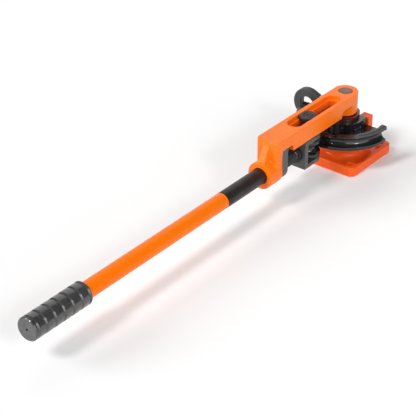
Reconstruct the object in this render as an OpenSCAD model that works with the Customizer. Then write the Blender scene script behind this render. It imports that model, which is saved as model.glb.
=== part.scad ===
// Ratchet pipe bender, millimetres, +Z up.
// The origin is where the pivot axis meets the bench; the handle lies along -X.

/* [Base] */
// Side of the square base plate
base_w = 140; // [130:1:170]
// Height of the base plate's rim above the bench
base_h = 20; // [18:0.5:26]
// Corner radius of the base plate
base_corner_r = 12; // [6:0.5:16]
// Width of the rim round the pocket
rim_w = 9; // [6:0.5:12]
// Depth of the pocket inside the rim
pocket_d = 6; // [3:0.5:8]
// Corner radius of the pocket
pocket_corner_r = 3; // [2:0.5:6]
// Radius of the corner boss round each bolt hole
boss_r = 11; // [9:0.5:13]
// Diameter of the four bolt holes
bolt_hole_d = 11; // [8:0.5:13]
// Distance between neighbouring bolt holes
bolt_pitch = 108; // [100:1:112]
// Radius of the round pedestal under the die
pedestal_r = 40; // [34:0.5:46]
// Width of the sloped foot round the pedestal
pedestal_foot = 8; // [4:0.5:12]
// Height of the die's seat above the bench
seat_h = 59.5; // [54:0.5:66]

/* [Reaction lug] */
// Thickness of the lug along the handle's direction
lug_t = 15.5; // [10:0.5:20]
// Width of the lug across the handle's direction
lug_w = 20.5; // [14:0.5:21.5]
// Distance of the lug's middle from the pivot, across the handle
lug_off = 33.5; // [33:0.5:40]
// Height of the lug above the die's seat
lug_rise = 29; // [20:0.5:34]
// Gap between the lug and the die's flat back
lug_gap = 0.3; // [0.1:0.1:0.6]

/* [Pivot post] */
// Diameter of the post that the arm turns on
post_d = 28; // [24:0.5:30]
// Diameter of the post's threaded foot
post_foot_d = 24; // [18:0.5:24]
// Thickness of the base web that the nut clamps
web_t = 15; // [10:0.5:18]
// Height of the post nut
post_nut_h = 10; // [8:0.5:12]
// Width of the post nut across its flats
post_nut_af = 36; // [34:0.5:40]
// Thickness of the washer above the post nut
post_washer_t = 2.5; // [1.5:0.5:3]
// Outer diameter of the washer above the post nut
post_washer_d = 39; // [37:0.5:41]
// Height of the post nut above the bench
post_cup_room = 1.5; // [1:0.5:3]
// Gap between the post nut's corners and its cup in the base
post_cup_gap = 2.5; // [1.5:0.5:4]
// Height of the post's lower end above the bench
post_end = 0.5; // [0.5:0.5:1]

/* [Die] */
// Radius of the die's rim
die_r = 96; // [92:0.5:110]
// Height of the die
die_h = 29; // [27:0.5:34]
// Height of the tube's centre line above the die's seat
groove_rise = 17; // [16:0.5:18]
// Radius of the tube groove in the die and in the roller
groove_r = 9.8; // [7:0.1:10]
// Width of the raised rim on top of the die
die_rim_w = 16; // [13:0.5:18]
// Thickness of the die's floor inside the rim
die_floor_t = 12.5; // [10:0.5:14]
// Distance from the pivot to the die's flat back
die_back = 20; // [17:0.5:24]
// Distance from the pivot to the end of the grooved rim
die_tail = 3; // [2:0.5:8]
// Distance from the pivot to the end of the bar on top of the rim
tail_bar = 12.5; // [10:0.5:16]
// Thickness of that bar
tail_bar_t = 4; // [3:0.5:6]
// Length of the bar's cut corner
tail_cut_l = 8; // [6:0.5:8]
// Width of the bar's cut corner
tail_cut_w = 4.5; // [2:0.5:6]
// Distance across the handle from the pivot to the near end of the floor behind it
floor_near = 68; // [60:0.5:72]
// Distance across the handle from the pivot to the step that the hook sits in
hook_step = 38; // [36:0.5:44]
// Diameter of the two die dowels
dowel_d = 8; // [6:0.5:10]
// Distance of the dowels from the pivot
dowel_off = 24; // [22:0.5:28]
// Depth of the dowels in the pedestal
dowel_deep = 15; // [10:0.5:20]
// Height of the dowels above the die's floor
dowel_up = 8; // [5:0.5:9]

/* [Ratchet] */
// Radius of the ratchet wheel over its teeth
wheel_r = 43; // [38:0.5:46]
// Thickness of the ratchet wheel
wheel_t = 16.5; // [13:0.5:18]
// Depth of the ratchet teeth
tooth_deep = 4; // [2:0.5:6]
// Angle from one ratchet tooth to the next
tooth_step = 11; // [8:0.5:16]
// Angle of the land at the tip of a ratchet tooth
tooth_land = 1.5; // [0.5:0.5:3]
// Angle at which the row of ratchet teeth starts, from the far side of the pivot
teeth_from = 112; // [100:1:120]
// Angle at which the row of ratchet teeth has to end
teeth_to = 288; // [270:1:300]
// Radius of the collar above the ratchet wheel
collar_r = 30; // [26:0.5:34]
// Height of the collar
collar_h = 9; // [8:0.5:14]
// Radius of the thrust washer under the arm
thrust_r = 22; // [20:0.5:25]
// Thickness of the thrust washer
thrust_t = 1.5; // [1:0.5:3]
// Distance of the pawl's pin from the pivot, along the handle
pawl_x = 60; // [58:0.5:62]
// Diameter of the pawl's pin
pawl_pin_d = 8; // [6:0.5:8]
// Radius of the pawl's hub
pawl_hub_r = 8; // [7:0.5:9]
// Width of the pawl's strut at its hub
pawl_strut_w = 12.8; // [10:0.2:14]
// Thickness of the pawl
pawl_t = 10; // [8:0.5:11]
// Length of the flat face on the pawl's nose
pawl_face = 7; // [5:0.5:9]
// Gap between the pawl's nose and the tooth tips at rest
pawl_gap = 0.35; // [0.3:0.05:0.6]
// Wire diameter of the pawl's spring
spring_wire = 1.6; // [1.2:0.1:2]
// Number of turns in the pawl's spring
spring_turns = 5; // [3:1:6]
// Gap between the pawl's pin and the spring round it
spring_gap = 0.5; // [0.3:0.1:1]

/* [Arm] */
// Width of the arm
arm_w = 50; // [46:1:56]
// Height of the arm's eye
eye_h = 43.2; // [40:0.2:46]
// Thickness of the arm's deck
deck_t = 21.8; // [19:0.2:24]
// Thickness of the two side lips under the deck
lip_t = 10; // [10:0.5:12]
// Height of the side lips below the deck
lip_h = 13.4; // [11:0.2:13.6]
// Distance from the pivot to the near end of the lip on the pawl's side
lip_near = 45; // [38:0.5:48]
// Distance from the pivot to the near end of the other lip, which meets the eye
back_lip_near = 18; // [10:0.5:19]
// Distance from the pivot to the far end of the lips
lip_far = 207; // [200:1:214]
// Distance from the pivot to the leg's outer face
leg_far = 259.4; // [250:0.2:270]
// Thickness of the leg
leg_t = 17.4; // [14:0.2:22]
// Radius of the handle boss
handle_boss_r = 27; // [25:0.5:30]
// Length of the handle boss in front of the leg
handle_boss_l = 20.6; // [16:0.2:26]
// Thickness of the rib on the leg
rib_t = 15; // [10:0.5:18]
// Distance from the arm's top to the rib's upper end
rib_drop = 6; // [3:0.5:10]
// Distance of the rib's lower corner inside the handle boss's outline
rib_inset = 2; // [1:0.5:4]
// Outer diameter of the bush in the arm's eye
eye_bush_d = 36; // [34:0.5:38]
// Thickness of the eye above its bush
eye_cap = 8; // [5:0.5:12]

/* [Slot] */
// Width of the slot at the arm's top
rebate_w = 30; // [29:0.5:32]
// Depth of the slot's wide upper part
rebate_d = 8.5; // [7:0.5:10]
// Width of the slot's narrow lower part
slot_w = 21; // [18:0.5:24]
// Distance from the pivot to the slot's near end, at its centre line
slot_near = 45; // [43:0.5:50]
// Distance from the pivot to the slot's far end, at its centre line
slot_far = 169; // [165:0.5:175]

/* [Roller and yoke] */
// Gap between the die's rim and the roller's rim
roller_gap = 6; // [5.5:0.5:7.5]
// Radius of the roller
roller_r = 25.5; // [22:0.5:26]
// Height of the roller
roller_h = 38; // [34:0.5:42]
// Thickness of each washer beside the roller
roller_washer_t = 1; // [0.5:0.5:1.5]
// Outer diameter of the washers beside the roller
roller_washer_d = 28; // [24:0.5:32]
// Thickness of the yoke's upper and lower arms
yoke_arm_t = 8.5; // [6:0.5:8.5]
// Distance from the roller's axle to the yoke's back
yoke_back = 41; // [40:0.5:44]
// Thickness of the yoke's back plate
yoke_back_t = 10; // [8:0.5:10]
// Diameter of the axle inside the roller
axle_d = 16; // [14:0.5:18]
// Diameter of the axle's head
axle_head_d = 35; // [31:0.5:37]
// Width of the axle's head across the two flats that keep it from turning in the slot
axle_head_af = 29; // [27:0.5:29]
// Height of the axle's head
axle_head_h = 8; // [5:0.5:8.5]
// Outer diameter of the roller's bush
roller_bush_d = 22; // [21:0.5:24]

/* [Screw and handle] */
// Diameter of the screw and of the handle tube
rod_d = 32; // [28:0.5:34]
// Diameter of the screw's neck in the yoke
neck_d = 16; // [12:0.5:18]
// Thickness of the clip on the screw's neck
clip_t = 2.2; // [1.5:0.1:2.5]
// Outer diameter of the clip
clip_d = 24; // [22:0.5:26]
// Outer diameter of the thrust collar behind the yoke
screw_collar_d = 38; // [36:0.5:42]
// Length of the thrust collar
screw_collar_l = 9; // [7:0.5:12]
// Diameter of the pin through the thrust collar
collar_pin_d = 5; // [3:0.5:6]
// Distance of the pin's ends below the thrust collar's surface
collar_pin_end = 0.5; // [0.5:0.5:2]
// Thickness of the nut plate on the leg
nut_plate_t = 17; // [12:0.5:20]
// Length of bare screw in front of the handle boss
screw_bare = 114; // [90:1:130]
// Length of the screw's spigot in the handle tube
spigot_l = 40; // [25:1:60]
// Wall of the handle tube
tube_wall = 3; // [2:0.5:4]
// Length of handle tube that shows between the screw and the grip
tube_bare = 378; // [300:1:450]
// Length of the grip
grip_l = 136; // [134:1:160]
// Diameter of the grip
grip_d = 45; // [40:0.5:48]
// Thickness of the grip's closed end
grip_end_t = 8; // [4:0.5:12]
// Length of the plain cuff at the grip's open end
grip_cuff = 25; // [20:0.5:30]
// Number of grooves between the grip's rings
grip_grooves = 5; // [3:1:5]
// Distance from one groove of the grip to the next
grip_pitch = 21.5; // [18:0.5:21.5]
// Depth of the grip's grooves
grip_groove_d = 1.8; // [0.5:0.1:2.5]
// Width of the grip's grooves
grip_groove_w = 4; // [2:0.5:5]
// Thickness of the flange at the grip's closed end
grip_flange = 4.5; // [3:0.5:6]
// Diameter of the vent hole in the grip's end
vent_d = 4; // [3:0.5:6]
// Diameter of the nut plate's screws
plate_screw_d = 8; // [6:0.5:8]
// Diameter of the heads of the nut plate's screws
plate_head_d = 13; // [11:0.5:14]
// Height of the heads of the nut plate's screws
plate_head_h = 8; // [6:0.5:9]
// Width across the flats of the sockets in those heads
plate_socket_af = 6; // [4:0.5:6]
// Depth of the sockets in those heads
plate_socket_d = 4; // [3:0.5:5]
// Depth of the nut plate's screws in the leg
plate_screw_deep = 10; // [8:0.5:12]
// Spacing of the nut plate's screws
plate_screw_pitch = 28; // [26:0.5:30]

/* [Tube hook] */
// Distance of the hook's stud from the pivot, across the handle
stud_y = 56; // [54:0.5:60]
// Distance of the hook's stud behind the die's stepped back
stud_x = 10.5; // [10.5:0.5:13]
// Diameter of the hook's stud
stud_d = 12; // [10:0.5:13]
// Wall of the base's boss round the hook's stud
stud_boss_wall = 6; // [4:0.5:7]
// Radius of the hook's barrel round the stud
barrel_r = 10; // [9:0.5:10]
// Height of the hook's barrel
barrel_h = 38; // [32:0.5:39]
// Thickness of the hook's plate
hook_t = 14; // [10:0.5:16]
// Outer radius of the hook's eye
hook_r = 32; // [28:0.5:34]
// Radius of the hole in the hook's eye
hook_hole_r = 15; // [13:0.5:18]
// Distance of the hook's eye inside the tube's centre line
hook_in = 2; // [0:0.5:3]
// Height of the hook's eye above the tube's centre line
hook_lift = 4.9; // [4:0.1:8]
// Rise of the hook's upper edge for each millimetre away from the stud
hook_slope = 0.42; // [0.36:0.01:0.48]
// Thickness of the washer on the hook's barrel
hook_washer_t = 2; // [1.5:0.5:2.5]
// Outer diameter of the washer on the hook's barrel
hook_washer_d = 19; // [17:0.5:20]
// Height of the nut on the hook's stud
stud_nut_h = 6; // [5:0.5:8]
// Width across the flats of the nut on the hook's stud
stud_nut_af = 18; // [16:0.5:19]
// Length of the stud above its nut
stud_end = 0.5; // [0.5:0.5:2]

/* [Clearances] */
// Radial clearance of turning fits
run_fit = 0.05; // [0.02:0.01:0.1]
// Radial clearance of fixed fits
press_fit = 0.02; // [0.01:0.01:0.04]
// Gap between flat faces of pieces that turn past each other
face_gap = 0.3; // [0.2:0.1:0.5]

/* [Hidden] */
$fn = 96;
over = 1;
ramp_reach = 1.5;
orange = [0.96, 0.36, 0.05];
base_orange = [0.90, 0.28, 0.08];
black = [0.07, 0.07, 0.075];
dark_red = [0.30, 0.09, 0.10];
dark_steel = [0.28, 0.26, 0.26];
bright_steel = [0.62, 0.62, 0.64];
bronze = [0.66, 0.46, 0.22];
rubber = [0.05, 0.05, 0.055];

// Heights of the stack on the pivot, from the bench up
floor_z = seat_h + die_floor_t;
wheel_top = floor_z + wheel_t;
collar_top = wheel_top + collar_h;
eye_z = collar_top + thrust_t;
arm_top = eye_z + eye_h;
deck_z = arm_top - deck_t;
lip_z = deck_z - lip_h;
ledge_z = arm_top - rebate_d;
axis_z = seat_h + groove_rise;
pocket_z = base_h - pocket_d;
post_cup_h = post_cup_room + post_nut_h + post_washer_t;
post_cup_r = post_nut_af / 2 / cos(30) + post_cup_gap;
shoulder_z = post_cup_h + web_t;
arm_half = arm_w / 2;
die_in_r = die_r - die_rim_w;

// Roller, yoke and axle
roller_x = die_r + roller_gap + roller_r;
fork_gap = roller_h + 2 * (roller_washer_t + face_gap);
fork_top = axis_z + fork_gap / 2;
yoke_top = fork_top + yoke_arm_t;
yoke_bottom = axis_z - fork_gap / 2 - yoke_arm_t;
yoke_back_x = -roller_x - yoke_back;
shank_d = slot_w - 2 * run_fit;

// Screw and handle, all along -X
collar_x1 = yoke_back_x - face_gap;
collar_x0 = collar_x1 - screw_collar_l;
boss_x = -leg_far - handle_boss_l;
tube_x1 = boss_x - screw_bare;
grip_x1 = tube_x1 - tube_bare;
grip_x0 = grip_x1 - grip_l;
tube_x0 = grip_x0 + grip_end_t;
tube_in_d = rod_d - 2 * tube_wall;
leg_in_x = -leg_far + leg_t;
plate_x1 = leg_in_x + nut_plate_t;
neck_x1 = yoke_back_x + yoke_back_t + clip_t + 2 * face_gap;
clip_x0 = yoke_back_x + yoke_back_t + face_gap;
plate_screw_z = (deck_z + axis_z + rod_d / 2) / 2;

// Pawl, whose pin stands in the middle of the arm's lip
pawl_y = arm_half - lip_t / 2;
pawl_z = floor_z + (wheel_t - pawl_t) / 2;
pawl_tip = wheel_r + pawl_gap;
pawl_top = pawl_z + pawl_t;
pin_foot = pawl_z - face_gap;
spring_z0 = pawl_top + spring_wire / 2 + press_fit;
spring_z1 = lip_z - spring_wire / 2 - face_gap;
spring_r = pawl_pin_d / 2 + spring_wire / 2 + spring_gap;
curl_rings = 8;
wire_sides = 6;

// Hook
hook_z0 = seat_h + face_gap;
barrel_top = hook_z0 + barrel_h;
hook_washer_z = barrel_top + face_gap;
stud_nut_z = hook_washer_z + hook_washer_t;
stud_top = stud_nut_z + stud_nut_h + stud_end;
stud_nut_room = max(stud_nut_af / 2 / cos(30), hook_washer_d / 2) + 2 * face_gap;
hook_eye_y = die_r - hook_in;
hook_eye_z = axis_z + hook_lift;
stud_boss_r = stud_d / 2 + stud_boss_wall;

// A straight box given by its two corners
module span(a, b) {
    translate(a) cube(b - a);
}

// A cylinder along X from x0 to x1 on the axis through y and z
module x_rod(x0, x1, r, y = 0, z = axis_z) {
    translate([x0, y, z]) rotate([0, 90, 0]) cylinder(h = x1 - x0, r = r);
}

// A cylinder along Z from z0 to z1 on the axis through x and y
module z_rod(z0, z1, r, x = 0, y = 0) {
    translate([x, y, z0]) cylinder(h = z1 - z0, r = r);
}

// A hexagon prism along Z, given by its width across flats
module hex_rod(z0, z1, af, x = 0, y = 0) {
    translate([x, y, z0]) cylinder(h = z1 - z0, r = af / 2 / cos(30), $fn = 6);
}

// A square plate with round corners
module round_plate(w, r, z0, z1) {
    h = w / 2;
    span([-h + r, -h, z0], [h - r, h, z1]);
    span([-h, -h + r, z0], [h, h - r, z1]);
    for (sx = [-1, 1], sy = [-1, 1])
        z_rod(z0, z1, r, sx * (h - r), sy * (h - r));
}

// A slot along X with round ends, centred on y = 0
module long_slot(x0, x1, w, z0, z1) {
    span([x0, -w / 2, z0], [x1, w / 2, z1]);
    z_rod(z0, z1, w / 2, x0, 0);
    z_rod(z0, z1, w / 2, x1, 0);
}

// A plate across X with a half-round lower end about the handle's axis
module leg_plate(x0, x1, top) {
    span([x0, -arm_half, axis_z], [x1, arm_half, top]);
    x_rod(x0, x1, arm_half);
}

// The places of the two dowels, one on each side of the handle's line
module dowel_places() {
    for (s = [-1, 1])
        translate([0, s * dowel_off, 0]) children();
}

module base() {
    color(base_orange) difference() {
        union() {
            difference() {
                round_plate(base_w, base_corner_r, 0, base_h);
                round_plate(base_w - 2 * rim_w, pocket_corner_r, pocket_z, base_h + over);
            }
            for (sx = [-1, 1], sy = [-1, 1])
                z_rod(0, base_h, boss_r, sx * bolt_pitch / 2, sy * bolt_pitch / 2);
            z_rod(0, seat_h, pedestal_r);
            translate([0, 0, pocket_z])
                cylinder(h = pedestal_foot, r1 = pedestal_r + pedestal_foot, r2 = pedestal_r);
            span([die_back + lug_gap, -lug_off - lug_w / 2, 0],
                [die_back + lug_gap + lug_t, -lug_off + lug_w / 2, seat_h + lug_rise]);
            z_rod(0, seat_h, stud_boss_r, stud_x, stud_y);
        }
        for (sx = [-1, 1], sy = [-1, 1])
            z_rod(-over, base_h + over, bolt_hole_d / 2, sx * bolt_pitch / 2, sy * bolt_pitch / 2);
        z_rod(-over, post_cup_h, post_cup_r);
        z_rod(0, seat_h, post_foot_d / 2 + press_fit);
        z_rod(shoulder_z, seat_h + over, post_d / 2 + press_fit);
        dowel_places() z_rod(seat_h - dowel_deep, seat_h + over, dowel_d / 2 + press_fit);
        z_rod(base_h, seat_h + over, stud_d / 2 + press_fit, stud_x, stud_y);
    }
}

module pivot_post() {
    color(dark_steel) {
        z_rod(shoulder_z, arm_top, post_d / 2);
        z_rod(post_end, shoulder_z, post_foot_d / 2);
    }
}

module post_washer() {
    color(bright_steel) difference() {
        z_rod(post_cup_h - post_washer_t, post_cup_h, post_washer_d / 2);
        z_rod(0, post_cup_h + over, post_foot_d / 2 + press_fit);
    }
}

module post_nut() {
    top = post_cup_h - post_washer_t;
    color(bright_steel) difference() {
        hex_rod(top - post_nut_h, top, post_nut_af);
        z_rod(-over, top + over, post_foot_d / 2 + press_fit);
    }
}

// The die is half round towards the handle, and a bar on top of its rim runs on towards the lug.
// Its far side stops at the pivot's line, where the hook sits.
module bending_die() {
    top = seat_h + die_h;
    color(black) difference() {
        union() {
            intersection() {
                z_rod(seat_h, top, die_r);
                span([-die_r - over, -die_r - over, seat_h], [0, die_r + over, top]);
            }
            span([-over, -die_r, seat_h], [die_tail, over - floor_near, top]);
            span([-over, -floor_near, seat_h], [die_back, hook_step, floor_z]);
            translate([0, 0, top - tail_bar_t]) linear_extrude(height = tail_bar_t) polygon([
                [-over, -die_r], [tail_bar - tail_cut_l, -die_r], [tail_bar, tail_cut_w - die_r],
                [tail_bar, -die_in_r], [-over, -die_in_r]]);
        }
        intersection() {
            z_rod(floor_z, top + over, die_in_r);
            span([-die_r, -die_r, floor_z], [over, die_r, top + over]);
        }
        span([0, -die_in_r, floor_z], [die_tail + over, hook_step + over, top + over]);
        rotate([0, 0, 90]) rotate_extrude(angle = 180)
            translate([die_r, axis_z]) circle(r = groove_r);
        x_rod(0, die_tail + over, groove_r, -die_r);
        z_rod(seat_h - over, top, post_d / 2 + run_fit);
        dowel_places() z_rod(seat_h - over, top, dowel_d / 2 + press_fit);
    }
}

module die_dowels() {
    color(bright_steel) dowel_places() z_rod(seat_h - dowel_deep, floor_z + dowel_up, dowel_d / 2);
}

// The gap in front of one saw tooth: a radial face, and a ramp that leaves a land at the next tip
module tooth_gap(root) {
    ramp = [wheel_r * cos(tooth_step - tooth_land) - root, wheel_r * sin(tooth_step - tooth_land)];
    polygon([[root, 0], [wheel_r + tooth_deep + over, 0], [root, 0] + ramp_reach * ramp]);
}

// Saw teeth face the way that stops the arm from springing back
module ratchet_wheel() {
    steps = floor((teeth_to - teeth_from) / tooth_step);
    color(black) difference() {
        z_rod(floor_z, wheel_top, wheel_r);
        for (i = [0:steps - 1])
            rotate([0, 0, teeth_from + i * tooth_step]) translate([0, 0, floor_z - over])
                linear_extrude(height = wheel_t + 2 * over) tooth_gap(wheel_r - tooth_deep);
        span([die_back, -2 * wheel_r, floor_z - over], [2 * wheel_r, 2 * wheel_r, wheel_top + over]);
        z_rod(floor_z - over, wheel_top + over, post_d / 2 + run_fit);
        dowel_places() z_rod(floor_z - over, floor_z + dowel_up + over, dowel_d / 2 + press_fit);
    }
}

module collar() {
    color(dark_red) difference() {
        z_rod(wheel_top, collar_top, collar_r);
        z_rod(wheel_top - over, collar_top + over, post_d / 2 + run_fit);
    }
}

module thrust_washer() {
    color(bronze) difference() {
        z_rod(collar_top, eye_z, thrust_r);
        z_rod(collar_top - over, eye_z + over, post_d / 2 + run_fit);
    }
}

module hook_stud() {
    color(bright_steel) z_rod(base_h, stud_top, stud_d / 2, stud_x, stud_y);
}

module hook_washer() {
    color(bright_steel) difference() {
        z_rod(hook_washer_z, stud_nut_z, hook_washer_d / 2, stud_x, stud_y);
        z_rod(hook_washer_z - over, stud_nut_z + over, stud_d / 2 + press_fit, stud_x, stud_y);
    }
}

module hook_nut() {
    color(bright_steel) difference() {
        hex_rod(stud_nut_z, stud_nut_z + stud_nut_h, stud_nut_af, stud_x, stud_y);
        z_rod(stud_nut_z - over, stud_top + over, stud_d / 2 + press_fit, stud_x, stud_y);
    }
}

// An upright eye plate beside the die's end, on a barrel that turns on the stud.
// Its upper edge is cut back round the stud's nut.
module tube_hook() {
    x0 = stud_x - hook_t / 2;
    n = sqrt(1 + hook_slope * hook_slope);
    tan_y = hook_eye_y - hook_r * hook_slope / n;
    tan_z = hook_eye_z + hook_r / n;
    color(black) difference() {
        union() {
            x_rod(x0, x0 + hook_t, hook_r, hook_eye_y, hook_eye_z);
            translate([x0, 0, 0]) rotate([90, 0, 90]) linear_extrude(height = hook_t) polygon([
                [stud_y, hook_z0], [hook_eye_y, hook_z0], [hook_eye_y, hook_eye_z], [tan_y, tan_z],
                [stud_y, tan_z - hook_slope * (tan_y - stud_y)]]);
            z_rod(hook_z0, barrel_top, barrel_r, stud_x, stud_y);
        }
        z_rod(barrel_top, stud_top + hook_r, stud_nut_room, stud_x, stud_y);
        x_rod(x0 - over, x0 + hook_t + over, hook_hole_r, hook_eye_y, hook_eye_z);
        z_rod(0, stud_top + over, stud_d / 2 + run_fit, stud_x, stud_y);
    }
}

// Deck with eye, side lips, leg, handle boss and rib
module arm() {
    bush_top = arm_top - eye_cap;
    color(orange) difference() {
        union() {
            span([-leg_far, -arm_half, deck_z], [0, arm_half, arm_top]);
            z_rod(eye_z, arm_top, arm_half);
            for (s = [-1, 1])
                translate([0, s * (arm_half - lip_t / 2), 0])
                    span([-lip_far, -lip_t / 2, lip_z],
                        [s < 0 ? -lip_near : -back_lip_near, lip_t / 2, deck_z]);
            leg_plate(-leg_far, leg_in_x, arm_top);
            x_rod(boss_x, leg_in_x, handle_boss_r);
            translate([0, rib_t / 2, 0]) rotate([90, 0, 0]) linear_extrude(height = rib_t) polygon([
                [-leg_far + over, arm_top - rib_drop], [-leg_far, arm_top - rib_drop],
                [boss_x + rib_inset, axis_z + handle_boss_r - rib_inset], [boss_x + rib_inset, axis_z],
                [-leg_far + over, axis_z]]);
        }
        z_rod(eye_z - over, arm_top + over, post_d / 2 + run_fit);
        z_rod(eye_z - over, bush_top, eye_bush_d / 2 + press_fit);
        long_slot(-slot_far, -slot_near, rebate_w, ledge_z, arm_top + over);
        long_slot(-slot_far, -slot_near, slot_w, deck_z - over, ledge_z + over);
        x_rod(boss_x - over, leg_in_x + over, rod_d / 2 + run_fit);
        for (s = [-1, 1])
            x_rod(leg_in_x - plate_screw_deep, leg_in_x + over, plate_screw_d / 2 + press_fit,
                s * plate_screw_pitch / 2, plate_screw_z);
        z_rod(lip_z - over, deck_z, pawl_pin_d / 2 + press_fit, -pawl_x, -pawl_y);
    }
}

module eye_bush() {
    color(bronze) difference() {
        z_rod(eye_z, arm_top - eye_cap, eye_bush_d / 2);
        z_rod(eye_z - over, arm_top, post_d / 2 + run_fit);
    }
}

module nut_plate() {
    color(black) difference() {
        leg_plate(leg_in_x, plate_x1, deck_z);
        x_rod(leg_in_x - over, plate_x1 + over, rod_d / 2 + run_fit);
        for (s = [-1, 1]) {
            x_rod(leg_in_x - over, plate_x1 + over, plate_screw_d / 2 + press_fit,
                s * plate_screw_pitch / 2, plate_screw_z);
            x_rod(plate_x1 - plate_head_h, plate_x1 + over, plate_head_d / 2 + press_fit,
                s * plate_screw_pitch / 2, plate_screw_z);
        }
    }
}

module nut_plate_screws() {
    color(dark_steel) for (s = [-1, 1]) difference() {
        union() {
            x_rod(leg_in_x - plate_screw_deep, plate_x1, plate_screw_d / 2,
                s * plate_screw_pitch / 2, plate_screw_z);
            x_rod(plate_x1 - plate_head_h, plate_x1, plate_head_d / 2,
                s * plate_screw_pitch / 2, plate_screw_z);
        }
        translate([plate_x1, s * plate_screw_pitch / 2, plate_screw_z])
            rotate([0, 90, 0]) hex_rod(-plate_socket_d, over, plate_socket_af);
    }
}

module pawl_pin() {
    color(dark_steel) z_rod(pin_foot, deck_z, pawl_pin_d / 2, -pawl_x, -pawl_y);
}

// A short strut whose flat nose meets the tooth face
module pawl() {
    reach = norm([pawl_x - pawl_tip, pawl_y]);
    side = pawl_strut_w / 2;
    ux = (pawl_x - pawl_tip) / reach;
    uy = pawl_y / reach;
    color(dark_steel) difference() {
        union() {
            z_rod(pawl_z, pawl_top, pawl_hub_r, -pawl_x, -pawl_y);
            translate([0, 0, pawl_z]) linear_extrude(height = pawl_t) polygon([
                [-pawl_tip, 0], [-pawl_tip - pawl_face, 0],
                [-pawl_x - side * uy, -pawl_y + side * ux], [-pawl_x + side * uy, -pawl_y - side * ux]]);
        }
        z_rod(pawl_z - over, pawl_top + over, pawl_pin_d / 2 + run_fit, -pawl_x, -pawl_y);
    }
}

// The spring is one wire coiled round the pin, swept as rings of points
function coil_ring(t) = let (a = 360 * spring_turns * t, z = spring_z0 + (spring_z1 - spring_z0) * t)
    [for (k = [0:wire_sides - 1]) let (b = 360 * k / wire_sides, r = spring_r + spring_wire / 2 * cos(b))
        [-pawl_x + r * cos(a), -pawl_y + r * sin(a), z + spring_wire / 2 * sin(b)]];

module pawl_spring() {
    n = wire_sides;
    rings = spring_turns * curl_rings;
    coil = [for (i = [0:rings]) coil_ring(i / rings)];
    walls = [for (i = [0:rings - 1], k = [0:n - 1])
        let (a = n * i + k, b = n * i + (k + 1) % n) each [[a, b, a + n], [b, b + n, a + n]]];
    caps = [for (k = [1:n - 2]) each [[0, k + 1, k], [n * rings, n * rings + k, n * rings + k + 1]]];
    gaps = [for (i = [0:rings - curl_rings / 2], j = [i + curl_rings / 2:rings], p = coil[i], q = coil[j])
        norm(p - q)];
    echo(least_gap_between_spring_turns = min(gaps));
    color(dark_steel) polyhedron(points = [for (ring = coil) each ring], faces = concat(walls, caps));
}

// A fork with round ends, open towards the die
module yoke() {
    color(black) difference() {
        union() {
            span([yoke_back_x, -arm_half, yoke_bottom], [-roller_x, arm_half, yoke_top]);
            z_rod(yoke_bottom, yoke_top, arm_half, -roller_x, 0);
        }
        span([yoke_back_x + yoke_back_t, -arm_half - over, axis_z - fork_gap / 2],
            [0, arm_half + over, fork_top]);
        z_rod(yoke_bottom - over, yoke_top + over, axle_d / 2 + press_fit, -roller_x, 0);
        x_rod(yoke_back_x - over, yoke_back_x + yoke_back_t + over, neck_d / 2 + run_fit);
    }
}

// A stepped pin with a round head that has two flats
module roller_axle() {
    head_top = ledge_z + axle_head_h;
    color(black) {
        intersection() {
            z_rod(ledge_z, head_top, axle_head_d / 2, -roller_x, 0);
            span([-roller_x - axle_head_d, -axle_head_af / 2, ledge_z - over],
                [-roller_x + axle_head_d, axle_head_af / 2, head_top + over]);
        }
        z_rod(yoke_top, ledge_z, shank_d / 2, -roller_x, 0);
        z_rod(yoke_bottom, yoke_top, axle_d / 2, -roller_x, 0);
    }
}

module roller_washers() {
    color(bright_steel) for (z0 = [axis_z - fork_gap / 2, fork_top - roller_washer_t]) difference() {
        z_rod(z0, z0 + roller_washer_t, roller_washer_d / 2, -roller_x, 0);
        z_rod(z0 - over, z0 + roller_washer_t + over, axle_d / 2 + press_fit, -roller_x, 0);
    }
}

module roller() {
    color(black) difference() {
        z_rod(axis_z - roller_h / 2, axis_z + roller_h / 2, roller_r, -roller_x, 0);
        translate([-roller_x, 0, axis_z]) rotate_extrude() translate([roller_r, 0]) circle(r = groove_r);
        z_rod(axis_z - roller_h, axis_z + roller_h, roller_bush_d / 2 + press_fit, -roller_x, 0);
    }
}

module roller_bush() {
    color(bronze) difference() {
        z_rod(axis_z - roller_h / 2, axis_z + roller_h / 2, roller_bush_d / 2, -roller_x, 0);
        z_rod(axis_z - roller_h, axis_z + roller_h, axle_d / 2 + run_fit, -roller_x, 0);
    }
}

module screw() {
    color(black) difference() {
        union() {
            x_rod(tube_x1, collar_x1, rod_d / 2);
            x_rod(collar_x1 - over, neck_x1, neck_d / 2);
            x_rod(tube_x1 - spigot_l, tube_x1 + over, tube_in_d / 2 - press_fit);
        }
        z_rod(axis_z - screw_collar_d, axis_z + screw_collar_d, collar_pin_d / 2 + press_fit,
            (collar_x0 + collar_x1) / 2, 0);
    }
}

module screw_collar() {
    color(dark_steel) difference() {
        x_rod(collar_x0, collar_x1, screw_collar_d / 2);
        x_rod(collar_x0 - over, collar_x1 + over, rod_d / 2 + press_fit);
        z_rod(axis_z - screw_collar_d, axis_z + screw_collar_d, collar_pin_d / 2 + press_fit,
            (collar_x0 + collar_x1) / 2, 0);
    }
}

module collar_pin() {
    half = screw_collar_d / 2 - collar_pin_end;
    color(bright_steel) z_rod(axis_z - half, axis_z + half, collar_pin_d / 2, (collar_x0 + collar_x1) / 2, 0);
}

module swivel_clip() {
    color(bright_steel) difference() {
        x_rod(clip_x0, clip_x0 + clip_t, clip_d / 2);
        x_rod(clip_x0 - over, clip_x0 + clip_t + over, neck_d / 2 + press_fit);
    }
}

module handle_tube() {
    color(orange) difference() {
        x_rod(tube_x0, tube_x1, rod_d / 2);
        x_rod(tube_x0 - over, tube_x1 + over, tube_in_d / 2);
    }
}

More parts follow.
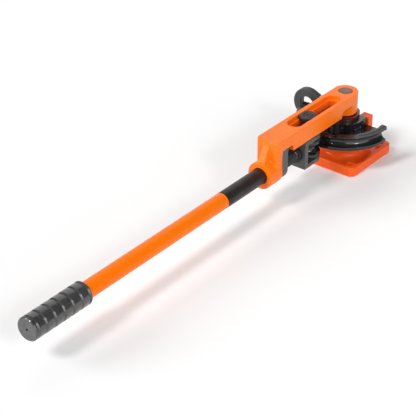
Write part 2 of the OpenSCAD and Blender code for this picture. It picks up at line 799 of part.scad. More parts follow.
// A rubber sleeve with shallow grooves between its rings, and a flange round its closed end
module grip() {
    ring_places = [for (i = [0:grip_grooves - 1]) grip_x1 - grip_cuff - i * grip_pitch];
    flange_place = grip_x0 + grip_flange + grip_groove_w / 2;
    color(rubber) difference() {
        x_rod(grip_x0, grip_x1, grip_d / 2);
        for (x = concat(ring_places, [flange_place])) difference() {
            x_rod(x - grip_groove_w / 2, x + grip_groove_w / 2, grip_d / 2 + over);
            x_rod(grip_x0, grip_x1, grip_d / 2 - grip_groove_d);
        }
        x_rod(tube_x0, grip_x1 + over, rod_d / 2 + press_fit);
        x_rod(grip_x0 - over, tube_x0 + over, vent_d / 2);
    }
}

base();
pivot_post();
post_washer();
post_nut();
bending_die();
die_dowels();
ratchet_wheel();
collar();
thrust_washer();
hook_stud();
hook_washer();
hook_nut();
tube_hook();
arm();
eye_bush();
nut_plate();
nut_plate_screws();
pawl_pin();
pawl();
pawl_spring();
yoke();
roller_axle();
roller_washers();
roller();
roller_bush();
screw();
screw_collar();
collar_pin();
swivel_clip();
handle_tube();
grip();
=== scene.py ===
"""Looks of a ratchet pipe bender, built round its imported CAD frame.

Sizes are in millimetres until a mesh is made, and every piece stands where the CAD node that it
replaces stands. +Z is up along the pivot, and the handle lies along -X.
"""

import logging
import math
from dataclasses import dataclass
from enum import Enum
from typing import Callable, Optional, Sequence

import bmesh
import bpy
import numpy as np
from mathutils import Matrix


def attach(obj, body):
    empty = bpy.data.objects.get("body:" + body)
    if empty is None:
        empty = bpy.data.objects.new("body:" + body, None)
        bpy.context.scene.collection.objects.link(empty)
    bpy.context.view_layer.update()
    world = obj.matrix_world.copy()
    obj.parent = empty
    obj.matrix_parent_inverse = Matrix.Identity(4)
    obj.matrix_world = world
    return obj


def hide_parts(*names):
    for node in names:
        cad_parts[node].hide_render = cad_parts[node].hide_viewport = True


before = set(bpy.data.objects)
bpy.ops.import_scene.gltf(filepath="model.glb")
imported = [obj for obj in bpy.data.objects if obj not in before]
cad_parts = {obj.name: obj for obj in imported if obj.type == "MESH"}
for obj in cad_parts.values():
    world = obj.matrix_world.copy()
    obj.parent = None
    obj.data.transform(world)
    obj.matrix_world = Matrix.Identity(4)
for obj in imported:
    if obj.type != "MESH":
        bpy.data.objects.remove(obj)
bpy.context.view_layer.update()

log = logging.getLogger("pipe_bender")

MM = 0.001
# Height of the axis that the tube, the roller and the handle share.
AXIS_Z = 76.5
# Reach of a cut that goes right through a piece.
FAR = 200.0
# Points of a mesh that lie closer than this, in metres, become one.
MERGE = 2e-6
# In a copy of a CAD mesh, edges flatter than this are dropped.
FLAT_ANGLE = math.radians(1.0)
# In such a copy, edges sharper than this are rounded.
SHARP_ANGLE = math.radians(35.0)

Colour = tuple[float, float, float]
Triple = tuple[float, float, float]
Pair = tuple[float, float]
Surface = tuple[np.ndarray, np.ndarray]
Field = Callable[[np.ndarray], np.ndarray]
Socket = bpy.types.NodeSocket


class Body(Enum):
    """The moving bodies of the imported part."""

    BASE = "base_body"
    ARM = "arm_body"
    PAWL = "pawl_body"
    YOKE = "yoke_body"
    ROLLER = "roller_body"
    HANDLE = "handle_body"
    HOOK = "hook_body"


class Slot(Enum):
    """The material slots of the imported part."""

    ARM_PAINT = "arm_paint"
    BASE_PAINT = "base_paint"
    TUBE_PAINT = "tube_paint"
    BLACK_GLOSS = "black_gloss"
    BLACK_SATIN = "black_satin"
    BLACK_OXIDE = "black_oxide"
    COLLAR_PAINT = "collar_paint"
    POST_STEEL = "post_steel"
    BRIGHT_STEEL = "bright_steel"
    BRONZE = "bronze"
    RUBBER = "rubber"


class Axis(Enum):
    """The axis that a turned piece is turned about."""

    X = "x"
    Z = "z"


class NodeSheet:
    """A material under construction: a Principled shader and the texture nodes that feed it."""

    def __init__(self, name: str) -> None:
        """Start a material.

        Args:
            name: Name of the material.
        """
        self.material = bpy.data.materials.new(name)
        self.material.use_nodes = True
        tree = self.material.node_tree
        tree.nodes.clear()
        self.nodes = tree.nodes
        self.links = tree.links
        self.shader = self.nodes.new("ShaderNodeBsdfPrincipled")
        output = self.nodes.new("ShaderNodeOutputMaterial")
        self.links.new(self.shader.outputs["BSDF"], output.inputs["Surface"])
        self.coords = self.nodes.new("ShaderNodeTexCoord").outputs["Object"]

    def set(self, **values: float | tuple) -> None:
        """Set sockets of the shader, named in lower case with underscores."""
        sockets = {s.name.lower().replace(" ", "_"): s for s in self.shader.inputs}
        for key, value in values.items():
            sockets[key].default_value = value

    def stretched(self, scale: Triple, centre: Triple = (0.0, 0.0, 0.0)) -> Socket:
        """Object coordinates about a centre, in metres, multiplied along each axis.

        Args:
            scale: Factors along X, Y and Z.
            centre: Point that becomes the origin, in millimetres.

        Returns:
            The socket with the coordinates.
        """
        node = self.nodes.new("ShaderNodeMapping")
        node.inputs["Scale"].default_value = scale
        node.inputs["Location"].default_value = [-c * MM * s for c, s in zip(centre, scale)]
        self.links.new(self.coords, node.inputs["Vector"])
        return node.outputs["Vector"]

    def noise(self, scale: float, detail: float = 3.0, vector: Optional[Socket] = None) -> Socket:
        """Grey noise with `scale` cells per metre.

        Args:
            scale: Cells per metre.
            detail: Octaves of finer noise.
            vector: Coordinates, or None for the plain object coordinates.

        Returns:
            The noise's value socket.
        """
        node = self.nodes.new("ShaderNodeTexNoise")
        node.inputs["Scale"].default_value = scale
        node.inputs["Detail"].default_value = detail
        self.links.new(vector or self.coords, node.inputs["Vector"])
        return node.outputs["Fac"]

    def rings(self, scale: float, axis: Axis, centre: Triple = (0.0, 0.0, 0.0)) -> Socket:
        """Fine turned rings about an axis.

        Args:
            scale: Wave scale, about three rings for each unit and metre.
            axis: Axis of the rings.
            centre: A point on that axis, in millimetres.

        Returns:
            The wave's value socket.
        """
        node = self.nodes.new("ShaderNodeTexWave")
        node.wave_type = "RINGS"
        node.rings_direction = axis.name
        node.inputs["Scale"].default_value = scale
        node.inputs["Distortion"].default_value = 0.6
        node.inputs["Detail"].default_value = 2.0
        self.links.new(self.stretched((1.0, 1.0, 1.0), centre), node.inputs["Vector"])
        return node.outputs["Fac"]

    def ranged(self, value: Socket, low: float, high: float, source: Pair = (0.3, 0.7)) -> Socket:
        """A value mapped from a source range to another one, and held there.

        Args:
            value: The value.
            low: What the source range's start becomes.
            high: What its end becomes.
            source: The source range.

        Returns:
            The mapped value's socket.
        """
        node = self.nodes.new("ShaderNodeMapRange")
        node.inputs["From Min"].default_value = source[0]
        node.inputs["From Max"].default_value = source[1]
        node.inputs["To Min"].default_value = low
        node.inputs["To Max"].default_value = high
        self.links.new(value, node.inputs["Value"])
        return node.outputs["Result"]

    def tint(self, cloud: Socket, first: Colour, second: Colour) -> None:
        """Give the shader a base colour that a noise moves between two colours.

        The Mix node's colours are its inputs 6 and 7 and its output 2.

        Args:
            cloud: The noise.
            first: Colour where the noise is low.
            second: Colour where it is high.
        """
        node = self.nodes.new("ShaderNodeMix")
        node.data_type = "RGBA"
        self.links.new(self.ranged(cloud, 0.0, 1.0), node.inputs["Factor"])
        node.inputs[6].default_value = (*first, 1.0)
        node.inputs[7].default_value = (*second, 1.0)
        self.feed("Base Color", node.outputs[2])

    def bump(self, height: Socket, depth: float, strength: float, under: Optional[Socket] = None) -> Socket:
        """A bump, on top of another one if there is one.

        Args:
            height: Grey value that is the relief.
            depth: Depth of the relief in millimetres.
            strength: Share of it that shows.
            under: Normal of the bump below, or None.

        Returns:
            The bumped normal's socket.
        """
        node = self.nodes.new("ShaderNodeBump")
        node.inputs["Distance"].default_value = depth * MM
        node.inputs["Strength"].default_value = strength
        self.links.new(height, node.inputs["Height"])
        if under is not None:
            self.links.new(under, node.inputs["Normal"])
        return node.outputs["Normal"]

    def feed(self, name: str, value: Socket) -> None:
        """Link a value to one of the shader's sockets."""
        self.links.new(value, self.shader.inputs[name])


@dataclass(frozen=True)
class Paint:
    """Sprayed or powder-coated paint: a faint mottle, an orange-peel skin and a glossy coat.

    Depths are in millimetres, and a noise has so many cells in a metre.
    """

    name: str
    colour: Colour
    shade: Colour
    rough: float
    peel: float = 0.02
    cast: float = 0.05
    coat: float = 0.3
    specular: float = 0.5
    mottle_cells: float = 22.0
    cast_cells: float = 120.0
    peel_cells: float = 750.0

    def material(self) -> bpy.types.Material:
        """The paint's material: three sizes of noise drive colour, roughness and bump."""
        sheet = NodeSheet(self.name)
        mottle = sheet.noise(self.mottle_cells, 4.0)
        grain = sheet.noise(self.peel_cells)
        cast = sheet.noise(self.cast_cells, 4.0)
        sheet.tint(mottle, self.colour, self.shade)
        sheet.feed("Roughness", sheet.ranged(grain, self.rough * 0.8, self.rough * 1.25))
        skin = sheet.bump(cast, self.cast, 0.5)
        sheet.feed("Normal", sheet.bump(grain, self.peel, 0.6, skin))
        sheet.set(coat_weight=self.coat, coat_roughness=0.08, ior=1.5, specular_ior_level=self.specular)
        return sheet.material


@dataclass(frozen=True)
class Steel:
    """Bare or blackened steel and bronze, with scratches along one direction or turned rings."""

    name: str
    colour: Colour
    shade: Colour
    rough: float
    metallic: float
    grain: Triple = (1.0, 1.0, 1.0)
    depth: float = 0.01
    turned: Optional[Axis] = None
    cloud_cells: float = 45.0
    scratch_cells: float = 600.0
    ring_scale: float = 260.0

    def material(self) -> bpy.types.Material:
        """The steel's material: stretched noise for scratches, and rings where it was turned."""
        sheet = NodeSheet(self.name)
        cloud = sheet.noise(self.cloud_cells, 5.0)
        scratch = sheet.noise(self.scratch_cells, vector=sheet.stretched(self.grain))
        sheet.tint(cloud, self.colour, self.shade)
        sheet.feed("Roughness", sheet.ranged(scratch, self.rough * 0.75, self.rough * 1.3))
        relief = sheet.bump(scratch, self.depth, 0.6)
        if self.turned is not None:
            rings = sheet.rings(self.ring_scale, self.turned)
            relief = sheet.bump(rings, self.depth * 2.0, 0.7, relief)
        sheet.feed("Normal", relief)
        sheet.set(metallic=self.metallic)
        return sheet.material


@dataclass(frozen=True)
class Rubber:
    """Moulded black rubber: a fine leathery grain under a shine, and rings where the mould left them."""

    name: str
    colour: Colour
    shade: Colour
    rough: float
    shine: float
    ring_centre: Optional[Triple] = None
    ring_scale: float = 60.0
    bloom_cells: float = 60.0
    grain_cells: float = 1100.0

    def material(self) -> bpy.types.Material:
        """The rubber's material: two noises for grain, and a cloudy bloom in the colour."""
        sheet = NodeSheet(self.name)
        bloom = sheet.noise(self.bloom_cells, 4.0)
        grain = sheet.noise(self.grain_cells, 2.0)
        sheet.tint(bloom, self.colour, self.shade)
        sheet.feed("Roughness", sheet.ranged(bloom, self.rough * 0.8, self.rough * 1.3))
        relief = sheet.bump(grain, 0.015, 0.5)
        if self.ring_centre is not None:
            rings = sheet.rings(self.ring_scale, Axis.X, self.ring_centre)
            relief = sheet.bump(rings, 0.12, 0.8, relief)
        sheet.feed("Normal", relief)
        sheet.set(coat_weight=self.shine, coat_roughness=0.06)
        return sheet.material


Finish = Paint | Steel | Rubber

FINISHES: dict[Slot, Finish] = {
    Slot.ARM_PAINT: Paint("arm_paint", (0.98, 0.190, 0.004), (0.96, 0.172, 0.003), 0.26,
                          coat=0.0, specular=0.32),
    Slot.BASE_PAINT: Paint("base_paint", (0.95, 0.115, 0.010), (0.92, 0.101, 0.008), 0.30,
                           cast=0.08, coat=0.0, specular=0.25),
    Slot.TUBE_PAINT: Paint("tube_paint", (0.98, 0.190, 0.001), (0.96, 0.178, 0.001), 0.20,
                           cast=0.01, coat=0.0, specular=0.17),
    Slot.BLACK_GLOSS: Paint("black_gloss", (0.008, 0.008, 0.009), (0.012, 0.012, 0.013), 0.14,
                            peel=0.006, cast=0.015, specular=0.45),
    Slot.BLACK_SATIN: Paint("black_satin", (0.070, 0.070, 0.072), (0.092, 0.092, 0.094), 0.40,
                            peel=0.03, cast=0.06, coat=0.0),
    Slot.BLACK_OXIDE: Steel("black_oxide", (0.050, 0.043, 0.042), (0.030, 0.026, 0.026), 0.38, 0.6,
                            (0.05, 1.0, 1.0), 0.012),
    Slot.COLLAR_PAINT: Paint("collar_paint", (0.095, 0.012, 0.014), (0.075, 0.009, 0.011), 0.20,
                             peel=0.01, cast=0.02),
    Slot.POST_STEEL: Steel("post_steel", (0.32, 0.18, 0.155), (0.225, 0.125, 0.108), 0.36, 1.0,
                           turned=Axis.Z),
    Slot.BRIGHT_STEEL: Steel("bright_steel", (0.60, 0.60, 0.62), (0.48, 0.48, 0.50), 0.30, 1.0,
                             (1.0, 1.0, 0.1)),
    Slot.BRONZE: Steel("bronze", (0.55, 0.34, 0.14), (0.42, 0.25, 0.10), 0.34, 1.0, (1.0, 1.0, 0.1)),
    Slot.RUBBER: Rubber("rubber", (0.028, 0.028, 0.029), (0.040, 0.040, 0.041), 0.30, 1.0),
}
HUB_GLOSS = Paint("hub_gloss", (0.012, 0.012, 0.013), (0.020, 0.020, 0.021), 0.15,
                  peel=0.015, cast=0.03, coat=0.5)
GRIP_END = Rubber("grip_end", (0.105, 0.105, 0.107), (0.085, 0.085, 0.087), 0.45, 0.0,
                  (-908.0, 0.0, AXIS_Z))
THREAD_OIL = Steel("thread_oil", (0.060, 0.054, 0.054), (0.036, 0.032, 0.032), 0.15, 0.5,
                   (0.05, 1.0, 1.0), 0.012)
HOOK_SATIN = Paint("hook_satin", (0.030, 0.030, 0.032), (0.044, 0.044, 0.046), 0.42,
                   peel=0.03, cast=0.06, coat=0.0)


class FinishBook:
    """Makes each finish once and hands out its material."""

    def __init__(self) -> None:
        """Start with no material made."""
        self.made: dict[str, bpy.types.Material] = {}

    def get(self, finish: Finish) -> bpy.types.Material:
        """The material of a finish."""
        if finish.name not in self.made:
            self.made[finish.name] = finish.material()
        return self.made[finish.name]


def grid_faces(rows: int, columns: int, closed: bool) -> np.ndarray:
    """Quads between neighbouring points of a grid that is numbered row by row.

    Args:
        rows: Number of rows.
        columns: Points in each row.
        closed: Whether each row closes on itself.

    Returns:
        Four point numbers for each quad.
    """
    row = np.arange(rows - 1)[:, None] * columns
    column = np.arange(columns if closed else columns - 1)[None, :]
    after = (column + 1) % columns
    below = row + columns
    return np.stack([row + column, row + after, below + after, below + column], -1).reshape(-1, 4)


def close_ends(work: bmesh.types.BMesh) -> None:
    """Fill each open loop of a mesh with triangles, one loop at a time.

    Args:
        work: The mesh, with its doubles merged.
    """
    open_edges = {edge for edge in work.edges if edge.is_boundary}
    while open_edges:
        loop = [open_edges.pop()]
        for edge in loop:
            near = {other for vert in edge.verts for other in vert.link_edges} & open_edges
            open_edges -= near
            loop.extend(near)
        bmesh.ops.triangle_fill(work, use_beauty=True, edges=loop)


def put_mesh(name: str, points: np.ndarray, faces: Sequence[Sequence[int]],
             normals: Optional[np.ndarray] = None, crease: float = 40.0) -> bpy.types.Object:
    """A mesh object from points in millimetres.

    Without given normals, equal points are merged, open ends closed, faces turned outwards, and
    edges sharper than the crease angle are kept sharp.

    Args:
        name: Name of the object.
        points: Points in millimetres, one row each.
        faces: Point numbers of each face.
        normals: One normal for each point, or None.
        crease: Angle of a sharp edge, in degrees.

    Returns:
        The new object, linked to the scene.
    """
    mesh = bpy.data.meshes.new(name)
    mesh.from_pydata((points.reshape(-1, 3) * MM).tolist(), [], [list(f) for f in faces])
    if normals is None:
        work = bmesh.new()
        work.from_mesh(mesh)
        bmesh.ops.remove_doubles(work, verts=work.verts, dist=MERGE)
        close_ends(work)
        bmesh.ops.recalc_face_normals(work, faces=work.faces)
        work.to_mesh(mesh)
        work.free()
    mesh.shade_smooth()
    if normals is None:
        mesh.set_sharp_from_angle(angle=math.radians(crease))
    else:
        mesh.normals_split_custom_set_from_vertices(normals.tolist())
    piece = bpy.data.objects.new(name, mesh)
    bpy.context.scene.collection.objects.link(piece)
    return piece


def rounded(corners: Sequence[Pair], radii: Sequence[float], steps: int = 7) -> np.ndarray:
    """A polyline whose inner corners are turned into arcs.

    Each arc starts radius / tan(half the corner's angle) before the corner, and its centre lies
    radius / sin(half the angle) along the bisector.

    Args:
        corners: Points of the polyline.
        radii: One radius for each point; the first and last are not used.
        steps: Points on each arc.

    Returns:
        The points of the rounded polyline.
    """
    corner = np.asarray(corners, float)
    middle = corner[1:-1]
    back = corner[:-2] - middle
    ahead = corner[2:] - middle
    back_long = np.linalg.norm(back, axis=1, keepdims=True)
    ahead_long = np.linalg.norm(ahead, axis=1, keepdims=True)
    back /= back_long
    ahead /= ahead_long
    half = 0.5 * np.arccos(np.clip((back * ahead).sum(1, keepdims=True), -1.0, 1.0))
    room = 0.499 * np.minimum(back_long, ahead_long)
    reach = np.minimum(np.asarray(radii, float)[1:-1, None] / np.tan(half), room)
    reach = np.maximum(reach, 1e-4)
    bisector = back + ahead
    bisector /= np.linalg.norm(bisector, axis=1, keepdims=True)
    centre = middle + bisector * reach / np.cos(half)
    start = (middle + back * reach - centre)[:, None, :]
    end = (middle + ahead * reach - centre)[:, None, :]
    sweep = (np.pi - 2.0 * half)[:, None, :]
    t = np.linspace(0.0, 1.0, steps)[None, :, None]
    arc = (np.sin((1.0 - t) * sweep) * start + np.sin(t * sweep) * end) / np.sin(sweep)
    arcs = (centre[:, None, :] + arc).reshape(-1, 2)
    return np.concatenate([corner[:1], arcs, corner[-1:]])


def turned(profile: np.ndarray, axis: Axis, centre: Pair = (0.0, 0.0),
           steps: int = 96) -> Surface:
    """A profile turned about an axis: its place along the axis, and radius * (cos, sin) across it.

    Args:
        profile: Rows of place along the axis and radius.
        axis: Axis of turning.
        centre: Where the axis stands: x and y for Z, y and z for X.
        steps: Points round the axis.

    Returns:
        Points and quads.
    """
    turn = np.linspace(0.0, 2.0 * np.pi, steps, endpoint=False)
    along = np.repeat(profile[:, :1], steps, axis=1)
    first = centre[0] + profile[:, 1:] * np.cos(turn)
    second = centre[1] + profile[:, 1:] * np.sin(turn)
    order = (first, second, along) if axis is Axis.Z else (along, first, second)
    return np.stack(order, -1).reshape(-1, 3), grid_faces(len(profile), steps, True)


def tube_profile(low: float, high: float, inner: float, outer: float, radii: Sequence[float]) -> np.ndarray:
    """Closed outline of a tube: place along its axis and radius, with its corners rounded.

    Args:
        low: Start of the tube.
        high: End of the tube.
        inner: Inner radius.
        outer: Outer radius.
        radii: Rounding of the outer corner at the start, the outer one at the end and the inner one there.

    Returns:
        The outline.
    """
    corners = [(low, inner), (low, outer), (high, outer), (high, inner), (low, inner)]
    return rounded(corners, [0, *radii, 0])


def inset(loop: np.ndarray, by: float) -> np.ndarray:
    """A closed loop moved inwards: each point goes along the normal of its neighbours' chord.

    Args:
        loop: Points of the loop.
        by: Distance of the move.

    Returns:
        The moved points.
    """
    chord = np.roll(loop, -1, axis=0) - np.roll(loop, 1, axis=0)
    area = 0.5 * np.sum(loop[:, 0] * np.roll(loop[:, 1], -1) - np.roll(loop[:, 0], -1) * loop[:, 1])
    normal = np.stack([-chord[:, 1], chord[:, 0]], -1) * np.sign(area)
    return loop + by * normal / np.maximum(np.linalg.norm(normal, axis=1, keepdims=True), 1e-9)


def beyond_span(u: np.ndarray, low: float | np.ndarray, high: float | np.ndarray) -> np.ndarray:
    """Distance beyond the nearer end of a stretch from low to high, below 0 between them."""
    return np.abs(u - 0.5 * (low + high)) - 0.5 * (high - low)


def beyond_both(a: np.ndarray, b: np.ndarray) -> np.ndarray:
    """Distance to the corner of two sides, from the distances beyond each of them."""
    return np.minimum(np.maximum(a, b), 0.0) + np.hypot(np.maximum(a, 0.0), np.maximum(b, 0.0))


def extruded(flat: np.ndarray, along: np.ndarray, low: float | np.ndarray, high: float | np.ndarray,
             edge: float) -> np.ndarray:
    """Distance to a flat outline carried from low to high, with its rims rounded.

    Args:
        flat: Signed distance to the outline.
        along: Coordinate along the extrusion.
        low: Start of the extrusion.
        high: End of the extrusion.
        edge: Radius of the rims.

    Returns:
        The signed distance to the solid.
    """
    return beyond_both(flat + edge, beyond_span(along, low, high) + edge) - edge


def flat_box(u: np.ndarray, v: np.ndarray, low: Pair, high: Pair,
             corner: float) -> np.ndarray:
    """Signed distance to a rectangle with round corners.

    Args:
        u: First coordinate of each point.
        v: Second coordinate of each point.
        low: Lower corner.
        high: Upper corner.
        corner: Radius of the corners.

    Returns:
        The length of what lies outside the box shrunk by that radius, less the radius.
    """
    a = beyond_span(u, low[0], high[0]) + corner
    b = beyond_span(v, low[1], high[1]) + corner
    return beyond_both(a, b) - corner


def flat_slot(u: np.ndarray, v: np.ndarray, first: float, last: float, radius: float) -> np.ndarray:
    """Signed distance to a slot with round ends along u, about v = 0."""
    return np.hypot(u - np.clip(u, first, last), v) - radius


def flat_convex(u: np.ndarray, v: np.ndarray, corners: Sequence[Pair]) -> np.ndarray:
    """Greatest distance beyond any side of a convex outline.

    Args:
        u: First coordinate of each point.
        v: Second coordinate of each point.
        corners: The outline's corners, anticlockwise.

    Returns:
        The distance at each point.
    """
    corner = np.asarray(corners, float)
    side = np.roll(corner, -1, axis=0) - corner
    out = np.stack([side[:, 1], -side[:, 0]], -1) / np.linalg.norm(side, axis=1, keepdims=True)
    beyond = [(u - c[0]) * n[0] + (v - c[1]) * n[1] for c, n in zip(corner, out)]
    return np.max(beyond, axis=0)


def joined(a: np.ndarray, b: np.ndarray, fillet: float) -> np.ndarray:
    """Union of two distances with a fillet in the corner between them."""
    h = np.clip(0.5 + 0.5 * (b - a) / fillet, 0.0, 1.0)
    return b + (a - b) * h - fillet * h * (1.0 - h)


def cut(a: np.ndarray, b: np.ndarray, ease: float) -> np.ndarray:
    """The first solid without the second, with the new edges eased."""
    return -joined(-a, b, ease)


@dataclass
class Casting:
    """A smooth solid given by a signed distance, meshed by surface nets and moved onto its surface."""

    shape: Field
    low: Triple
    high: Triple
    pitch: float

    def mesh(self) -> tuple[np.ndarray, np.ndarray, np.ndarray]:
        """Surface nets: a point in each cell that the surface crosses, and a quad round each crossed edge.

        Returns:
            Points, quads and normals.
        """
        pitch = self.pitch
        axes = [np.arange(a - pitch, b + 2.0 * pitch, pitch) for a, b in zip(self.low, self.high)]
        value = self.shape(np.stack(np.meshgrid(*axes, indexing="ij"), -1))
        inside = value < 0.0
        cells = tuple(n - 1 for n in value.shape)
        count = np.zeros(cells)
        place = np.zeros(cells + (3,))
        for axis in range(3):
            for step in range(4):
                shift = [step & 1, step >> 1]
                shift.insert(axis, 0)
                near = tuple(slice(s, s + n) for s, n in zip(shift, cells))
                shift[axis] = 1
                far = tuple(slice(s, s + n) for s, n in zip(shift, cells))
                shift[axis] = 0
                crossed = inside[near] != inside[far]
                change = np.where(crossed, value[near] - value[far], 1.0)
                share = np.where(crossed, value[near] / change, 0.0)
                count += crossed
                place += crossed[..., None] * np.array(shift, float)
                place[..., axis] += share
        used = count > 0
        number = np.full(cells, -1)
        number[used] = np.arange(used.sum())
        start = np.stack([a[i] for a, i in zip(axes, np.nonzero(used))], -1)
        points = start + pitch * place[used] / count[used][:, None]
        quads = np.concatenate([self.crossing_quads(inside, number, axis) for axis in range(3)])
        for _ in range(4):
            slope = self.slope(points)
            steepness = np.maximum((slope * slope).sum(1, keepdims=True), 0.2)
            step = self.shape(points)[:, None] * slope / steepness
            points = points - np.clip(step, -0.5 * pitch, 0.5 * pitch)
        slope = self.slope(points)
        return points, quads, slope / np.maximum(np.linalg.norm(slope, axis=1, keepdims=True), 1e-9)

    @staticmethod
    def crossing_quads(inside: np.ndarray, number: np.ndarray, axis: int) -> np.ndarray:
        """A quad of the four cells round each grid edge that the surface crosses.

        Args:
            inside: Which grid points lie inside the solid.
            number: Point number of each cell.
            axis: Direction of the grid edges.

        Returns:
            Quads that face outwards.
        """
        inner = np.moveaxis(inside, axis, 0)[:, 1:-1, 1:-1]
        cell = np.moveaxis(number, axis, 0)
        ring = np.stack([cell[:, :-1, :-1], cell[:, 1:, :-1], cell[:, 1:, 1:], cell[:, :-1, 1:]], -1)
        leaving = inner[:-1] & ~inner[1:]
        entering = ~inner[:-1] & inner[1:]
        ahead, back = (leaving, entering) if axis != 1 else (entering, leaving)
        return np.concatenate([ring[ahead], ring[back][:, ::-1]])

    def slope(self, points: np.ndarray) -> np.ndarray:
        """Gradient of the distance, from differences over a fifth of a millimetre."""
        reach = 0.1
        sides = np.eye(3) * reach
        return np.stack([self.shape(points + s) - self.shape(points - s) for s in sides], -1) / (2.0 * reach)


@dataclass
class SubAssembly:
    """A group of pieces that share one finish book."""

    book: FinishBook

    def settle(self, piece: bpy.types.Object, body: Body, slot: Slot, *nodes: str,
               finish: Optional[Finish] = None) -> None:
        """Dress a new piece, let it ride on its body, and hide the CAD nodes that it replaces.

        Args:
            piece: The new piece.
            body: Body that it rides on.
            slot: Material slot that it takes its finish from.
            nodes: CAD nodes that it replaces.
            finish: A finish of its own, or None for the slot's finish.
        """
        piece.data.materials.clear()
        piece.data.materials.append(self.book.get(finish or FINISHES[slot]))
        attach(piece, body.value)
        if nodes:
            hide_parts(*nodes)
        log.info("%s rides on %s, %d faces", piece.name, body.value, len(piece.data.polygons))

    def dress_part(self, piece: bpy.types.Object, finish: Finish, low: float, high: float) -> None:
        """Give the faces whose middle lies between two places along X a finish of their own.

        Args:
            piece: The piece, already settled.
            finish: The faces' finish.
            low: Lower place along X, in millimetres.
            high: Upper place along X, in millimetres.
        """
        middle = np.zeros(len(piece.data.polygons) * 3)
        piece.data.polygons.foreach_get("center", middle)
        x = middle[::3] / MM
        piece.data.materials.append(self.book.get(finish))
        piece.data.polygons.foreach_set("material_index", ((x > low) & (x < high)).astype(np.int32))

    def dress_node(self, slot: Slot, *nodes: str) -> None:
        """Give CAD nodes that stay as they are the finish of a slot.

        Args:
            slot: The slot.
            nodes: Names of the nodes.
        """
        for node in nodes:
            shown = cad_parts[node]
            shown.data.materials.clear()
            shown.data.materials.append(self.book.get(FINISHES[slot]))
            log.info("%s keeps its CAD shape", node)

    def ease(self, node: str, name: str, width: float, body: Body, slot: Slot,
             finish: Optional[Finish] = None) -> None:
        """Replace a CAD node by a merged copy of its mesh whose sharp edges are rounded by a bevel.

        Args:
            node: The CAD node.
            name: Name of the copy.
            width: Width of the bevel in millimetres.
            body: Body that it rides on.
            slot: Material slot that it takes its finish from.
            finish: A finish of its own, or None for the slot's finish.
        """
        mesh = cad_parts[node].data.copy()
        mesh.name = name
        work = bmesh.new()
        work.from_mesh(mesh)
        bmesh.ops.remove_doubles(work, verts=work.verts, dist=MERGE)
        bmesh.ops.dissolve_limit(work, angle_limit=FLAT_ANGLE, verts=work.verts, edges=work.edges)
        work.to_mesh(mesh)
        work.free()
        mesh.shade_smooth()
        piece = bpy.data.objects.new(name, mesh)
        bpy.context.scene.collection.objects.link(piece)
        bevel = piece.modifiers.new("eased_edges", "BEVEL")
        bevel.width = width * MM
        bevel.segments = 3
        bevel.limit_method = "ANGLE"
        bevel.angle_limit = SHARP_ANGLE
        bevel.harden_normals = True
        self.settle(piece, body, slot, node, finish=finish)


